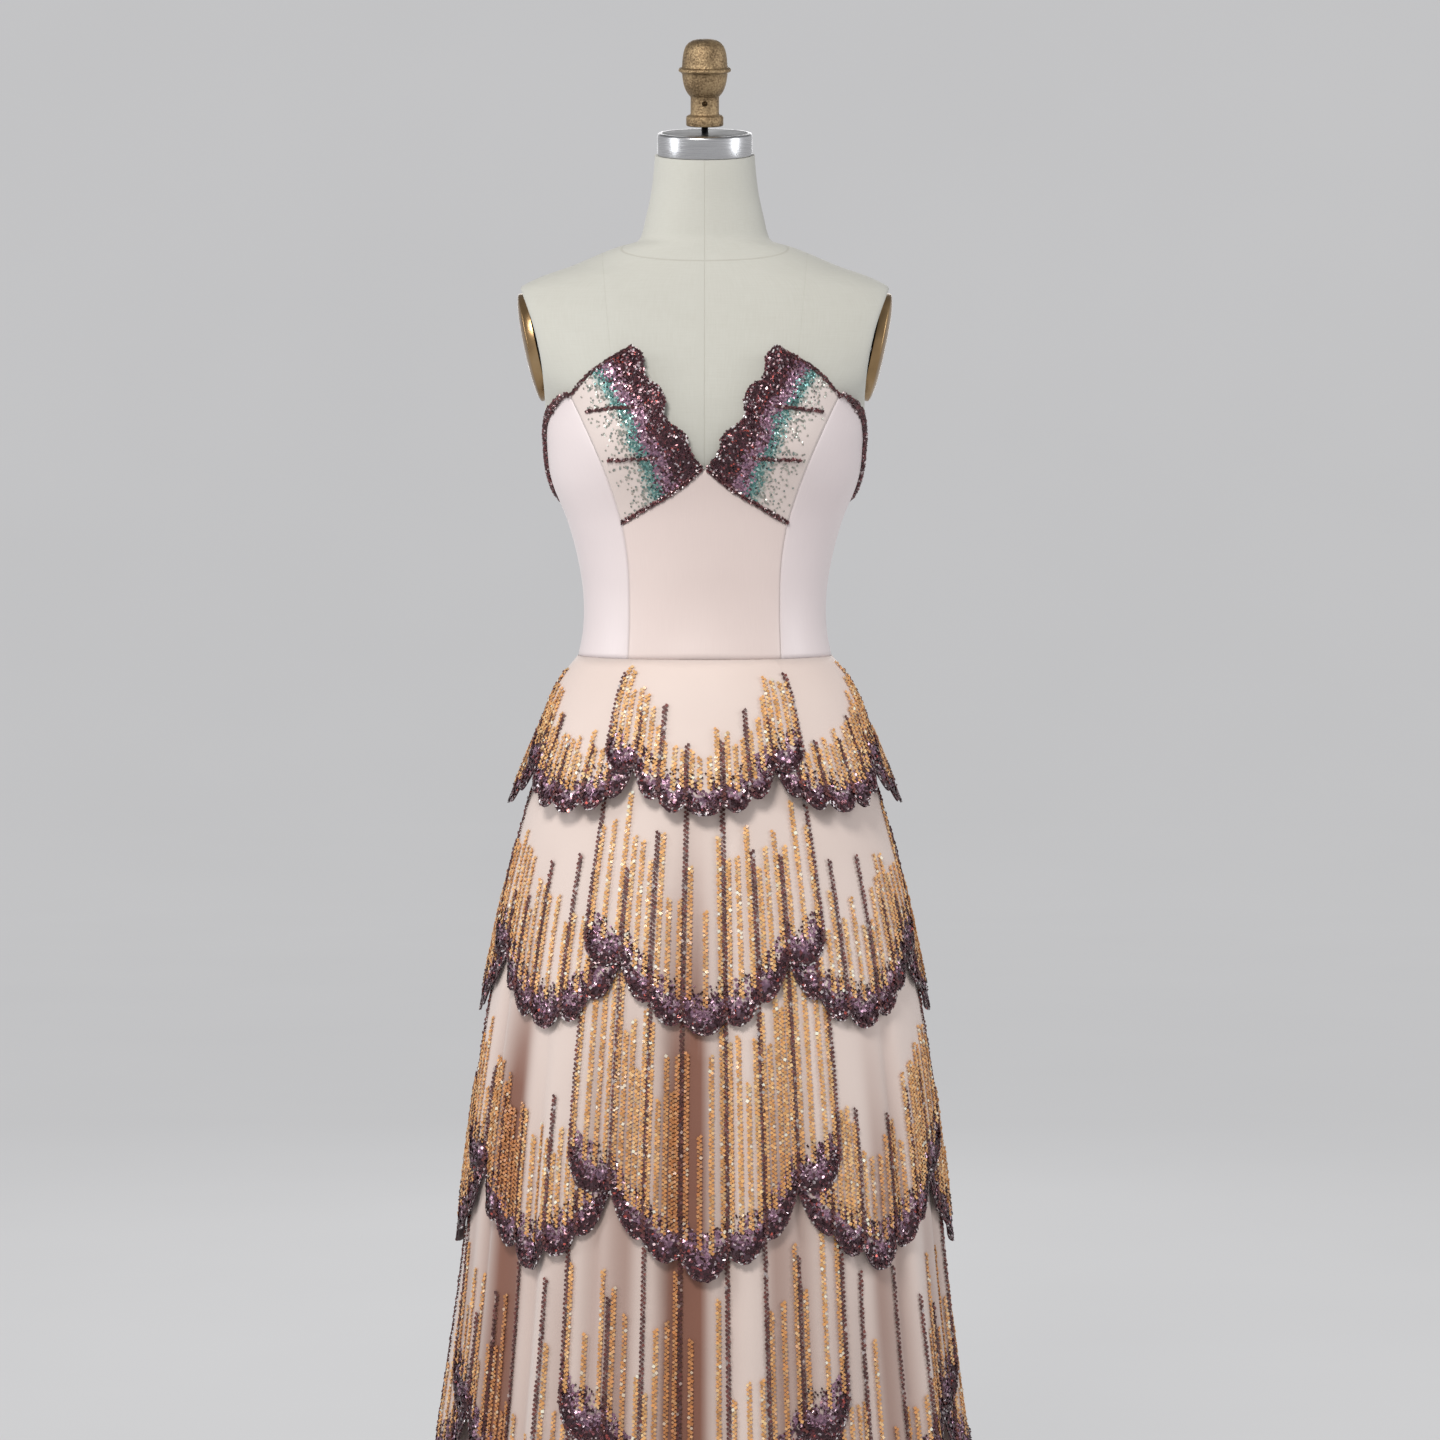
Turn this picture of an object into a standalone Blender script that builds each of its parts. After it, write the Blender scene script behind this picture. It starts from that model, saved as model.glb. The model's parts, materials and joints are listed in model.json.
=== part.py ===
"""Tiered evening gown on a limbless dress form, in metres, +Z up, with its front towards -Y.

The form is a loft through its measured sections, and the bodice's panels lie on the same sections,
moved out. The skirt is a flared tube with soft folds. The petals of the four tiers are made from
the skirt's own facets, each moved straight out by its layer's distance, so no layer crosses another.
Angles run round the body from the front (0) towards +X (90) to the back (180).
"""

import bpy
import numpy as np
from math import atan2, ceil, pi, radians, sin, tan
from mathutils import Matrix, Vector

MM = 0.001

# Driving dimensions, in metres.
WAIST_Z = 1.055  # height of the waist seam above the floor
SEAM_GAP = 0.0003  # between pieces that meet at a seam or a seat
BODICE_CLEARANCE = 0.0016  # from the form to the inside of the bodice
BODICE_CLOTH = 0.0015
SKIRT_CLOTH = 0.0012
PETAL_CLOTH = 0.0013
FORM_BOTTOM_Z = 0.830
FORM_SIDES = 44
FORM_RING_STEP = 0.0210  # the most between rings under the bodice
NECK_TILT = 9.5  # degrees that the top of the neck leans forward
BUST_X = 0.084  # from the middle to the fullest point
BUST_Z = 1.276
BUST_DEPTH = 0.023
BUST_WIDTH, BUST_ABOVE, BUST_BELOW = 0.047, 0.072, 0.050  # how soon the bust falls away
BUST_HOLLOW = 0.35  # how far it falls back in the middle, as a share of its depth
CAP_HEIGHT = 0.0225
STUD_RADIUS = 0.0036
STUD_HEIGHT = 0.0065
FINIAL_HOLE_RADIUS = 0.0028
FINIAL_HOLE_HEIGHT = 0.0235  # above the finial's foot
FINIAL_HOLE_DEPTH = 0.0085
FINIAL_SHAFT_RADIUS = 0.0145
POLE_RADIUS = 0.0135

# Sections of the form, in mm:
# height, half width, front depth, back depth, centre set back, squareness, tilt in degrees
FORM_SECTIONS = [
    (830, 157, 104, 111, 0, 2.0, 0),
    (900, 160, 110, 118, 0, 2.0, 0),
    (985, 153, 110, 117, 0, 2.0, 0),
    (1020, 142, 105, 105, 0, 2.0, 0),
    (1055, 127.5, 98, 88, 0, 2.0, 0),
    (1080, 122.5, 94, 84, 0, 2.0, 0),
    (1112, 121.5, 93, 83, 0, 2.0, 0),
    (1153, 127.0, 98, 87, 0, 2.0, 0),
    (1194, 138.0, 105, 94, 0, 2.0, 0),
    (1235, 154.0, 111, 101, 0, 2.0, 0),
    (1276, 161.0, 114, 105, 0, 2.0, 0),
    (1312, 167.0, 110, 107, 0, 2.1, 0),
    (1345, 187, 102, 105, 1, 2.3, 0),
    (1380, 199, 92, 100, 4, 2.5, 0),
    (1406, 202, 83, 94, 6, 2.5, 0),
    (1429, 192, 71, 85, 8, 2.4, 0),
    (1441, 172, 66, 79, 10, 2.3, 0),
    (1454, 136, 62, 71, 12, 2.1, 0),
    (1466, 108, 59, 64, 13, 2.0, 0),
    (1478, 80, 57, 59, 13, 2.0, 0),
    (1485, 67, 55, 56, 12, 2.0, 0),
    (1503, 60.5, 54, 54, 10, 2.0, 0),
    (1528, 55, 52, 52, 6, 2.0, 3),
    (1552, 52, 51, 51, 2, 2.0, 6),
    (1566, 51, 50, 50, 0, 2.0, NECK_TILT),
]

# Outline of the bodice's front pieces, seen from the front, in mm:
# distance from the middle, height above the waist seam
PRINCESS_SEAM_LOW = [(76, 0.5), (74.7, 50), (76.7, 103), (82, 137)]
PRINCESS_SEAM_HIGH = [(82, 137), (87, 155), (102, 198), (121, 240), (134, 267)]
CUP_LOWER_EDGE = [(82, 137), (53, 155), (27, 171), (1.5, 193)]
CUP_INNER_EDGE = [
    (1.5, 193), (15, 212), (18, 224), (32, 234), (40, 243), (39, 256),
    (45, 272), (58, 281), (60, 291), (61, 302), (71, 316),
]
CUP_TOP_EDGE = [(134, 267), (118, 290), (98, 308), (71, 316)]

# Top edge of the side and back panels: angle, height above the waist seam in mm
BACK_TOP_EDGE = [
    (53, 267), (64, 258), (73, 247), (79, 230), (85, 206), (90, 184), (110, 163), (140, 158), (180, 160),
]
SIDE_SEAM = 90
BACK_SEAM = 135

# Lift of the cups off the chest, in mm: share of the way from the princess seam to the inner edge, lift
CUP_LIFT = [(0.0, 0.0), (0.45, 1.0), (0.75, 3.5), (1.0, 7.5)]

# Levels of the skirt, in mm. It is straight between them:
# height, half width, front depth, back depth
SKIRT_LEVELS = [
    (10, 284, 270, 272),
    (160, 270, 252, 256),
    (380, 247, 226, 230),
    (600, 229, 200, 207),
    (800, 200, 166, 176),
    (985, 156.5, 119, 126),
    (1020, 147.5, 112, 113),
    (1055, 130.5, 101.0, 91.0),
]
SKIRT_COLUMNS = 64
LIFT_WIDTH_TO_DEPTH = 1.15  # turns the lift of the petals square to the oval skirt

# Folds of the skirt: angle, depth at the hem in mm, half width in degrees, height where it begins in mm
FOLDS = [
    (-2, 23, 8, 960), (17, 14, 7, 800), (32, 9, 6, 700), (46, 15, 7, 800), (67, 12, 7, 700),
    (104, 14, 7, 800), (121, 20, 8, 880), (139, 12, 7, 760), (157, 17, 8, 860), (176, 11, 7, 800),
    (-160, 18, 8, 880), (-141, 12, 7, 760), (-122, 20, 8, 850), (-103, 13, 7, 760),
    (-74, 11, 6, 700), (-54, 25, 9, 880), (-34, 9, 6, 700), (-19, 14, 7, 820),
]

# Tiers of petals, in mm: seam height, heights of the rows down to the hem's scallops,
# lowest point, rise of the hem to the petal's side, power of that rise (1 is a plain V),
# scallop drop, drop of the middle tongue, height of the side lobe, stand-off from the skirt
TIERS = [
    (1054.7, (1020, 985), 903, 131, 3.2, 10, 11, 28, 22),
    (985, (800,), 688, 143, 2.2, 12, 13, 34, 11),
    (800, (600,), 447, 198, 2.7, 12, 24, 44, 13),
    (600, (380,), 195, 205, 2.6, 13, 25, 50, 12),
]
LOBE_HANG = 6  # mm that a side lobe hangs below its notch
LOBE_TURN = 0.55  # share of the side lobe, from the petal's edge, where it hangs lowest
PETALS = 8
PETAL_COLUMNS = 12  # of the skirt's columns, so neighbours overlap by a third
SCALLOP_STEPS = (4, 3, 3, 4, 3, 3, 4)  # half columns in each of the seven scallops
INNER_LAYER = 0.0005  # from the skirt to the innermost layer of petals
OUTER_LAYER = 0.0035  # and to the outermost

# Zip at the centre back.
ZIP_HALF_WIDTH = 0.003
ZIP_SLIDER_DROP = 0.012  # from the top edge to the slider's middle
SLIDER_SIZE = (0.0054, 0.0018, 0.0085)  # across, out and up
PIN_OUT = 0.0038  # from the slider's back to the pin
PIN_RADIUS = 0.0006
CHEEK_THICKNESS = 0.0009
CHEEK_HEIGHT = 0.0032
CHEEK_GAP = 0.0030
PULL_SIZE = (0.0024, 0.0010, 0.0190)
PULL_EYE_RADIUS = 0.0016
PULL_HOLE_RADIUS = 0.0009
PULL_OVERLAP = 0.0002  # from the edge of the eye's hole to the end of the tab

# Rows and columns of the bodice's panels.
LOW_ROWS = 6
HIGH_ROWS = 10
HALF_FRONT_COLUMNS = 6
CUP_COLUMNS = 6
SIDE_COLUMNS = 6
BACK_COLUMNS = 5

# Profiles of the turned pieces, in mm: radius, height
CAP_PROFILE = [(0, 0), (48.4, 0), (48.4, 20.5), (47.6, 22), (46.4, 22.5), (0, 22.5)]
FINIAL_PROFILE = [
    (0, 0), (18, 0), (19, 1), (19, 9), (17.2, 10.8), (14.5, 12.4), (14.5, 28.5), (15.8, 31),
    (19.4, 36), (22.1, 44.5), (23.2, 52.4), (25.4, 54.6), (26.8, 56.7), (25, 58.9), (23.2, 60.6),
    (22.5, 70), (20.9, 77), (17.5, 83), (12, 86.4), (6, 87.6), (0, 87.6),
]
BASE_PROFILE = [(0, 0), (188, 0), (190, 2), (190, 8), (186, 10), (60, 16), (32, 18), (30, 40), (0, 40)]
PLATE_PROFILE = [(0, 0), (1.0, 0), (1.0, 0.18), (0.93, 0.42), (0.7, 0.78), (0.4, 0.95), (0, 1.0)]

# The flat of the armhole, in mm: x and z of its top and of its bottom, and its middle's y
ARMHOLE_TOP = (189.5, 1429)
ARMHOLE_BOTTOM = (164.5, 1312)
ARMHOLE_Y = 4
PLATE_HALF_HEIGHT = 0.056
PLATE_HALF_WIDTH = 0.045
PLATE_DOME = 0.0075

# Materials: colour, roughness, metallic
MATERIALS = {
    "linen": ((0.62, 0.62, 0.55), 0.9, 0.0),
    "brushed_steel": ((0.55, 0.55, 0.56), 0.3, 1.0),
    "cast_brass": ((0.30, 0.20, 0.09), 0.5, 0.9),
    "arm_plate_metal": ((0.22, 0.14, 0.07), 0.35, 0.9),
    "stand_iron": ((0.03, 0.03, 0.03), 0.5, 0.6),
    "blush_satin": ((0.73, 0.63, 0.60), 0.45, 0.0),
    "beaded_cup": ((0.30, 0.15, 0.22), 0.4, 0.1),
    "blush_lining": ((0.76, 0.62, 0.57), 0.6, 0.0),
    "beaded_tulle": ((0.72, 0.48, 0.30), 0.5, 0.1),
    "zip_coil": ((0.70, 0.60, 0.56), 0.5, 0.0),
    "zip_metal": ((0.60, 0.58, 0.55), 0.3, 1.0),
}


def clear_scene():
    for item in list(bpy.data.objects):
        bpy.data.objects.remove(item, do_unlink=True)


def new_collection(name, shown=True):
    collection = bpy.data.collections.new(name)
    bpy.context.scene.collection.children.link(collection)
    collection.hide_render = not shown
    return collection


def make_materials():
    for name, (colour, roughness, metallic) in MATERIALS.items():
        material = bpy.data.materials.new(name)
        material.use_nodes = True
        shader = material.node_tree.nodes["Principled BSDF"]
        shader.inputs["Base Color"].default_value = (*colour, 1)
        shader.inputs["Roughness"].default_value = roughness
        shader.inputs["Metallic"].default_value = metallic


def add_object(name, points, faces, material, collection):
    mesh = bpy.data.meshes.new(name)
    mesh.from_pydata([tuple(p) for p in points], [], faces)
    mesh.update()
    item = bpy.data.objects.new(name, mesh)
    collection.objects.link(item)
    if material:
        mesh.materials.append(bpy.data.materials[material])
    return item


def columns_of(table, unit=MM):
    """A table's columns as arrays in metres."""
    return [np.array(column, float) * unit for column in zip(*table)]


def smooth(at, knots, values):
    """Cubic curve through the knots, with the slope at each knot taken from its neighbours."""
    slopes = np.gradient(values, knots)
    i = np.clip(np.searchsorted(knots, at) - 1, 0, len(knots) - 2)
    step = knots[i + 1] - knots[i]
    t = (at - knots[i]) / step
    start = (1 + 2 * t) * (1 - t) ** 2 * values[i] + t * (1 - t) ** 2 * step * slopes[i]
    end = t * t * (3 - 2 * t) * values[i + 1] + t * t * (t - 1) * step * slopes[i + 1]
    return start + end


def along(points, shares):
    """Points at the given shares of the length of a polyline, rounded by a cubic through its points."""
    points = np.array(points, float) * MM
    steps = np.linalg.norm(np.diff(points, axis=0), axis=1)
    length = np.concatenate([[0], np.cumsum(steps)])
    at = np.array(shares) * length[-1]
    return np.stack([smooth(at, length, points[:, 0]), smooth(at, length, points[:, 1])], axis=-1)


# The form's surface.

SECTION_Z, HALF_WIDTH, FRONT_DEPTH, BACK_DEPTH, SET_BACK = columns_of(FORM_SECTIONS)[:5]
SQUARENESS, SECTION_TILT = columns_of(FORM_SECTIONS, 1)[5:]


def torso(angle, z):
    """Points of the form: a rounded oval at each height, with the bust pushed forward."""
    s, c = np.sin(angle), np.cos(angle)
    square = smooth(z, SECTION_Z, SQUARENESS)
    reach = (np.abs(s) ** square + np.abs(c) ** square) ** (-1 / square)
    depth = np.where(c > 0, smooth(z, SECTION_Z, FRONT_DEPTH), smooth(z, SECTION_Z, BACK_DEPTH))
    x = smooth(z, SECTION_Z, HALF_WIDTH) * s * reach
    beyond = np.maximum(np.abs(x) - BUST_X, 0) / BUST_WIDTH
    within = np.minimum(np.abs(x) / BUST_X, 1)
    across = np.exp(-(beyond**2)) - BUST_HOLLOW * (1 - within**2) ** 2
    upright = np.exp(-(((z - BUST_Z) / np.where(z > BUST_Z, BUST_ABOVE, BUST_BELOW)) ** 2))
    fade = np.clip(c / 0.4, 0, 1)
    bust = BUST_DEPTH * across * upright * fade * fade * (3 - 2 * fade)
    y = smooth(z, SECTION_Z, SET_BACK) - depth * c * reach - bust
    return np.stack([x, y, z + 0 * x], axis=-1)


def torso_outward(angle, z):
    """Unit normals of the form, from small steps round it and up it."""
    step = 0.002
    across = torso(angle + step, z) - torso(angle - step, z)
    up = torso(angle, z + step) - torso(angle, z - step)
    normal = np.cross(across, up)
    return normal / np.linalg.norm(normal, axis=-1, keepdims=True)


def angle_at(x, z):
    """The angle at which the front of the form lies at a distance x from its middle."""
    angle = np.arcsin(np.clip(x / smooth(z, SECTION_Z, HALF_WIDTH), -1, 1))
    for _ in range(6):
        found = torso(angle, z)[..., 0]
        slope = smooth(z, SECTION_Z, HALF_WIDTH) * np.maximum(np.cos(angle), 0.2)
        angle = angle + (x - found) / slope
    return angle


def ring_heights():
    """Heights of the sections, with more rings between them where the bodice lies on the form."""
    heights = []
    for low, high in zip(SECTION_Z[:-1], SECTION_Z[1:]):
        count = ceil((high - low) / FORM_RING_STEP) if WAIST_Z <= low else 1
        heights += list(np.linspace(low, high, count, endpoint=False))
    return heights + [SECTION_Z[-1]]


def make_form_body(collection):
    angles = np.linspace(0, 2 * pi, FORM_SIDES, endpoint=False)
    rings = []
    for z in ring_heights():
        ring = torso(angles, np.full(FORM_SIDES, z))
        tilt = np.interp(z, SECTION_Z, SECTION_TILT)
        centre = smooth(z, SECTION_Z, SET_BACK)
        ring[:, 2] += tan(radians(tilt)) * (ring[:, 1] - centre)
        rings.append(ring)
    faces = [
        (r * FORM_SIDES + c, r * FORM_SIDES + (c + 1) % FORM_SIDES,
         (r + 1) * FORM_SIDES + (c + 1) % FORM_SIDES, (r + 1) * FORM_SIDES + c)
        for r in range(len(rings) - 1)
        for c in range(FORM_SIDES)
    ]
    last = (len(rings) - 1) * FORM_SIDES
    faces.append(tuple(reversed(range(FORM_SIDES))))
    faces.append(tuple(range(last, last + FORM_SIDES)))
    return add_object("form_body", np.concatenate(rings), faces, "linen", collection)


def armhole_matrix(side):
    """Stands on the flat of an armhole: local Z points out of the body and local X up the flat."""
    top, bottom = Vector(ARMHOLE_TOP) * MM, Vector(ARMHOLE_BOTTOM) * MM
    up = (top - bottom).normalized()
    middle = (top + bottom) / 2
    x_axis = Vector((side * up.x, 0, up.y))
    z_axis = Vector((side * up.y, 0, -up.x))
    y_axis = z_axis.cross(x_axis)
    matrix = Matrix((x_axis, y_axis, z_axis)).transposed().to_4x4()
    matrix.translation = (side * middle.x, ARMHOLE_Y * MM, middle.y)
    return matrix


def cut_armholes(form, cutters):
    """Planes each side of the form flat where its arm plate lies."""
    for side, name in ((-1, "left"), (1, "right")):
        size = 0.2
        bpy.ops.mesh.primitive_cube_add(size=size)
        cutter = bpy.context.object
        cutter.name = f"armhole_cutter_{name}"
        cutter.matrix_world = armhole_matrix(side) @ Matrix.Translation((0, 0, size / 2))
        cutter.display_type = "WIRE"
        move_to(cutter, cutters)
        cut = form.modifiers.new(f"armhole {name}", "BOOLEAN")
        cut.operation = "DIFFERENCE"
        cut.solver = "EXACT"
        cut.object = cutter


def move_to(item, collection):
    for holder in list(item.users_collection):
        holder.objects.unlink(item)
    collection.objects.link(item)


def turned(name, profile, material, collection, segments=32, unit=MM):
    """A solid of revolution round local Z, from a profile that starts and ends on the axis."""
    points = [(radius * unit, 0, height * unit) for radius, height in profile]
    mesh = bpy.data.meshes.new(name)
    mesh.from_pydata(points, [(i, i + 1) for i in range(len(points) - 1)], [])
    item = bpy.data.objects.new(name, mesh)
    collection.objects.link(item)
    mesh.materials.append(bpy.data.materials[material])
    screw = item.modifiers.new("turn", "SCREW")
    screw.steps = segments
    screw.render_steps = segments
    screw.use_merge_vertices = True
    screw.merge_threshold = 0.00001
    screw.use_normal_calculate = True
    return item


def make_neck_fittings(collection, cutters):
    """Steel cap, stud and cast finial, stacked square to the leaning top of the neck."""
    top_z = SECTION_Z[-1]
    lean = Matrix.Translation((0, 0, top_z)) @ Matrix.Rotation(radians(NECK_TILT), 4, "X")
    cap = turned("form_neck_cap", CAP_PROFILE, "brushed_steel", collection, 40)
    cap.matrix_world = lean @ Matrix.Translation((0, 0, SEAM_GAP))
    stud_base = CAP_HEIGHT + 2 * SEAM_GAP
    bpy.ops.mesh.primitive_cylinder_add(vertices=16, radius=STUD_RADIUS, depth=STUD_HEIGHT)
    stud = bpy.context.object
    stud.name = "form_neck_stud"
    stud.matrix_world = lean @ Matrix.Translation((0, 0, stud_base + STUD_HEIGHT / 2))
    stud.data.materials.append(bpy.data.materials["cast_brass"])
    move_to(stud, collection)
    finial = turned("form_finial", FINIAL_PROFILE, "cast_brass", collection, 24)
    finial_place = lean @ Matrix.Translation((0, 0, stud_base + STUD_HEIGHT + SEAM_GAP))
    finial.matrix_world = finial_place
    bpy.ops.mesh.primitive_cylinder_add(
        vertices=16, radius=FINIAL_HOLE_RADIUS, depth=2 * FINIAL_HOLE_DEPTH
    )
    drill = bpy.context.object
    drill.name = "finial_hole_cutter"
    mouth = Matrix.Translation((0, -FINIAL_SHAFT_RADIUS, FINIAL_HOLE_HEIGHT))
    drill.matrix_world = finial_place @ mouth @ Matrix.Rotation(pi / 2, 4, "X")
    drill.display_type = "WIRE"
    move_to(drill, cutters)
    cut = finial.modifiers.new("pin hole", "BOOLEAN")
    cut.operation = "DIFFERENCE"
    cut.solver = "EXACT"
    cut.object = drill


def make_arm_plates(collection):
    for side, name in ((-1, "left"), (1, "right")):
        plate = turned(f"form_arm_plate_{name}", PLATE_PROFILE, "arm_plate_metal", collection, 28, 1)
        size = Matrix.Diagonal((PLATE_HALF_HEIGHT, PLATE_HALF_WIDTH, PLATE_DOME, 1))
        plate.matrix_world = armhole_matrix(side) @ Matrix.Translation((0, 0, SEAM_GAP)) @ size


def make_stand(collection):
    turned("stand_base", BASE_PROFILE, "stand_iron", collection, 40)
    foot = BASE_PROFILE[-1][1] * MM + SEAM_GAP
    height = FORM_BOTTOM_Z - SEAM_GAP - foot
    bpy.ops.mesh.primitive_cylinder_add(
        vertices=24, radius=POLE_RADIUS, depth=height, location=(0, 0, foot + height / 2)
    )
    pole = bpy.context.object
    pole.name = "stand_pole"
    pole.data.materials.append(bpy.data.materials["stand_iron"])
    move_to(pole, collection)


# Walls of cloth between two grids of points.


def strip_faces(low, high, falling=False):
    """Triangles between two rows of a sheet. The lower row may have twice as many steps.

    Every layer is split along the same diagonals, so layers on a twisted facet keep their distance.
    """
    faces = []
    if len(low) == len(high):
        for i in range(len(low) - 1):
            a, b, c, d = low[i], low[i + 1], high[i + 1], high[i]
            faces += [(a, b, d), (b, c, d)] if falling else [(a, b, c), (a, c, d)]
        return faces
    for i in range(len(high) - 1):
        left, middle, right = low[2 * i], low[2 * i + 1], low[2 * i + 2]
        faces.append((left, middle, high[i]))
        faces.append((middle, high[i + 1], high[i]))
        faces.append((middle, right, high[i + 1]))
    return faces


def cloth_wall(name, inner_rows, outer_rows, material, collection, tube=False, falling=False):
    """A closed wall from its inner and outer rows, listed from the bottom up."""
    points = np.concatenate(inner_rows + outer_rows)
    inner, outer = [], []
    count = 0
    for index in (inner, outer):
        for row in inner_rows:
            numbers = list(range(count, count + len(row)))
            count += len(row)
            index.append(numbers + numbers[:1] if tube else numbers)
    faces = []
    for r in range(len(inner_rows) - 1):
        faces += strip_faces(outer[r], outer[r + 1], falling)
        faces += [tuple(reversed(face)) for face in strip_faces(inner[r], inner[r + 1], falling)]
    faces += strip_faces(inner[0], outer[0])
    faces += strip_faces(outer[-1], inner[-1])
    if not tube:
        left_in, left_out = [row[0] for row in inner], [row[0] for row in outer]
        right_in, right_out = [row[-1] for row in inner], [row[-1] for row in outer]
        faces += strip_faces(left_out, left_in)
        faces += strip_faces(right_in, right_out)
    return add_object(name, points, faces, material, collection)


# The bodice. A panel is filled in between four edges given as angle and height.


def front_edge(outline, shares, side):
    """Angles and heights of an edge that is given by its outline from the front."""
    points = along(outline, shares)
    z = WAIST_Z + points[:, 1]
    return np.stack([side * angle_at(points[:, 0], z), z], axis=-1)


def top_edge(first_angle, last_angle, count):
    degrees, height = zip(*BACK_TOP_EDGE)
    angles = np.linspace(first_angle, last_angle, count)
    z = WAIST_Z + smooth(angles, np.array(degrees, float), np.array(height, float)) * MM
    return np.stack([np.radians(angles), z], axis=-1)


def fill(bottom, top, left, right):
    """Fills in a grid between four edges: blend of the edges, less the blend of the corners."""
    u = np.linspace(0, 1, len(bottom))[None, :, None]
    v = np.linspace(0, 1, len(left))[:, None, None]
    sides = (1 - u) * left[:, None] + u * right[:, None]
    ends = (1 - v) * bottom[None] + v * top[None]
    corners = (1 - v) * ((1 - u) * bottom[0] + u * bottom[-1]) + v * ((1 - u) * top[0] + u * top[-1])
    return sides + ends - corners


def drawn_in(grid):
    """Moves a panel's edges in by half a seam gap, measured on the form's surface."""
    points = torso(grid[..., 0], grid[..., 1])
    half = SEAM_GAP / 2
    for rows in (True, False):
        g = grid if rows else grid.swapaxes(0, 1)
        p = points if rows else points.swapaxes(0, 1)
        for edge, inside in ((0, 1), (-1, -2)):
            length = np.linalg.norm(p[inside] - p[edge], axis=-1, keepdims=True)
            g[edge] += (g[inside] - g[edge]) * half / np.maximum(length, 0.002)
    return grid


def bodice_panel(name, grid, material, collection, lift=0.0, falling=False):
    grid = drawn_in(grid)
    surface = torso(grid[..., 0], grid[..., 1])
    outward = torso_outward(grid[..., 0], grid[..., 1])
    inner = surface + outward * (BODICE_CLEARANCE + np.asarray(lift)[..., None])
    outer = inner + outward * BODICE_CLOTH
    return cloth_wall(name, list(inner), list(outer), material, collection, falling=falling)


def waist_edge(first, last, count):
    angles = np.linspace(first, last, count)
    return np.stack([angles, np.full(count, WAIST_Z + SEAM_GAP / 2)], axis=-1)


def make_front_centre(collection):
    rows = np.linspace(0, 1, LOW_ROWS + 1)
    half = np.linspace(0, 1, HALF_FRONT_COLUMNS + 1)
    left = front_edge(PRINCESS_SEAM_LOW, rows, -1)
    right = front_edge(PRINCESS_SEAM_LOW, rows, 1)
    top_left = front_edge(CUP_LOWER_EDGE, half, -1)
    top_right = front_edge(CUP_LOWER_EDGE, half, 1)[::-1]
    top = np.concatenate([top_left[:-1], [(top_left[-1] + top_right[0]) / 2], top_right[1:]])
    bottom = waist_edge(left[0, 0], right[0, 0], len(top))
    left[0], right[0] = bottom[0], bottom[-1]
    bodice_panel("front_centre", fill(bottom, top, left, right), "blush_satin", collection)


def make_cup(side, name, collection):
    rows = np.linspace(0, 1, HIGH_ROWS + 1)
    across = np.linspace(0, 1, CUP_COLUMNS + 1)
    outer_edge = front_edge(PRINCESS_SEAM_HIGH, rows, side)
    inner_edge = front_edge(CUP_INNER_EDGE, rows, side)
    bottom = front_edge(CUP_LOWER_EDGE, across, side)
    top = front_edge(CUP_TOP_EDGE, across, side)
    share = across
    if side > 0:
        outer_edge, inner_edge = inner_edge, outer_edge
        bottom, top, share = bottom[::-1], top[::-1], across[::-1]
    lift_share, lift_mm = zip(*CUP_LIFT)
    rising = np.clip(rows * 2.5, 0, 1)[:, None]
    lift = np.interp(share, lift_share, lift_mm)[None, :] * MM * rising
    bodice_panel(name, fill(bottom, top, outer_edge, inner_edge), "beaded_cup", collection, lift)


def side_rows():
    """Shares of the princess seam's length at the rows of the side and back panels."""
    low = along_length(PRINCESS_SEAM_LOW)
    high = along_length(PRINCESS_SEAM_HIGH)
    first = np.linspace(0, low, LOW_ROWS + 1)
    second = np.linspace(low, low + high, HIGH_ROWS + 1)[1:]
    return np.concatenate([first, second]) / (low + high)


def along_length(points):
    return float(np.linalg.norm(np.diff(np.array(points, float), axis=0), axis=1).sum())


def princess_seam():
    low = front_edge(PRINCESS_SEAM_LOW, np.linspace(0, 1, LOW_ROWS + 1), 1)
    high = front_edge(PRINCESS_SEAM_HIGH, np.linspace(0, 1, HIGH_ROWS + 1), 1)
    return np.concatenate([low, high[1:]])


def straight_seam(degrees, shares):
    foot, head = waist_edge(radians(degrees), radians(degrees), 1)[0], top_edge(degrees, degrees, 1)[0]
    return foot + shares[:, None] * (head - foot)


def make_side_and_back(side, name, collection):
    """Side front, side back and centre back, made on the +X side and turned over for the other."""
    shares = side_rows()
    princess = princess_seam()
    side_seam = straight_seam(SIDE_SEAM, shares)
    back_seam = straight_seam(BACK_SEAM, shares[::2])
    zip_edge = straight_seam(180, shares[::2])
    zip_edge[:, 0] = pi - (ZIP_HALF_WIDTH + SEAM_GAP / 2) / smooth(zip_edge[:, 1], SECTION_Z, HALF_WIDTH)
    seams = (
        ("front_side", princess, side_seam, SIDE_COLUMNS),
        ("back_side", side_seam[::2], back_seam, BACK_COLUMNS),
        ("back", back_seam, zip_edge, BACK_COLUMNS),
    )
    for piece, near, far, count in seams:
        first, last = np.degrees(near[-1, 0]), np.degrees(far[-1, 0])
        top = top_edge(first, last, count + 1)
        top[0], top[-1] = near[-1], far[-1]
        bottom = waist_edge(near[0, 0], far[0, 0], count + 1)
        near, far = near.copy(), far.copy()
        near[0], far[0] = bottom[0], bottom[-1]
        grid = fill(bottom, top, near, far)
        if side < 0:
            grid = grid[:, ::-1] * (-1, 1)
        bodice_panel(f"{piece}_{name}", grid, "blush_satin", collection, falling=side < 0)


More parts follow.
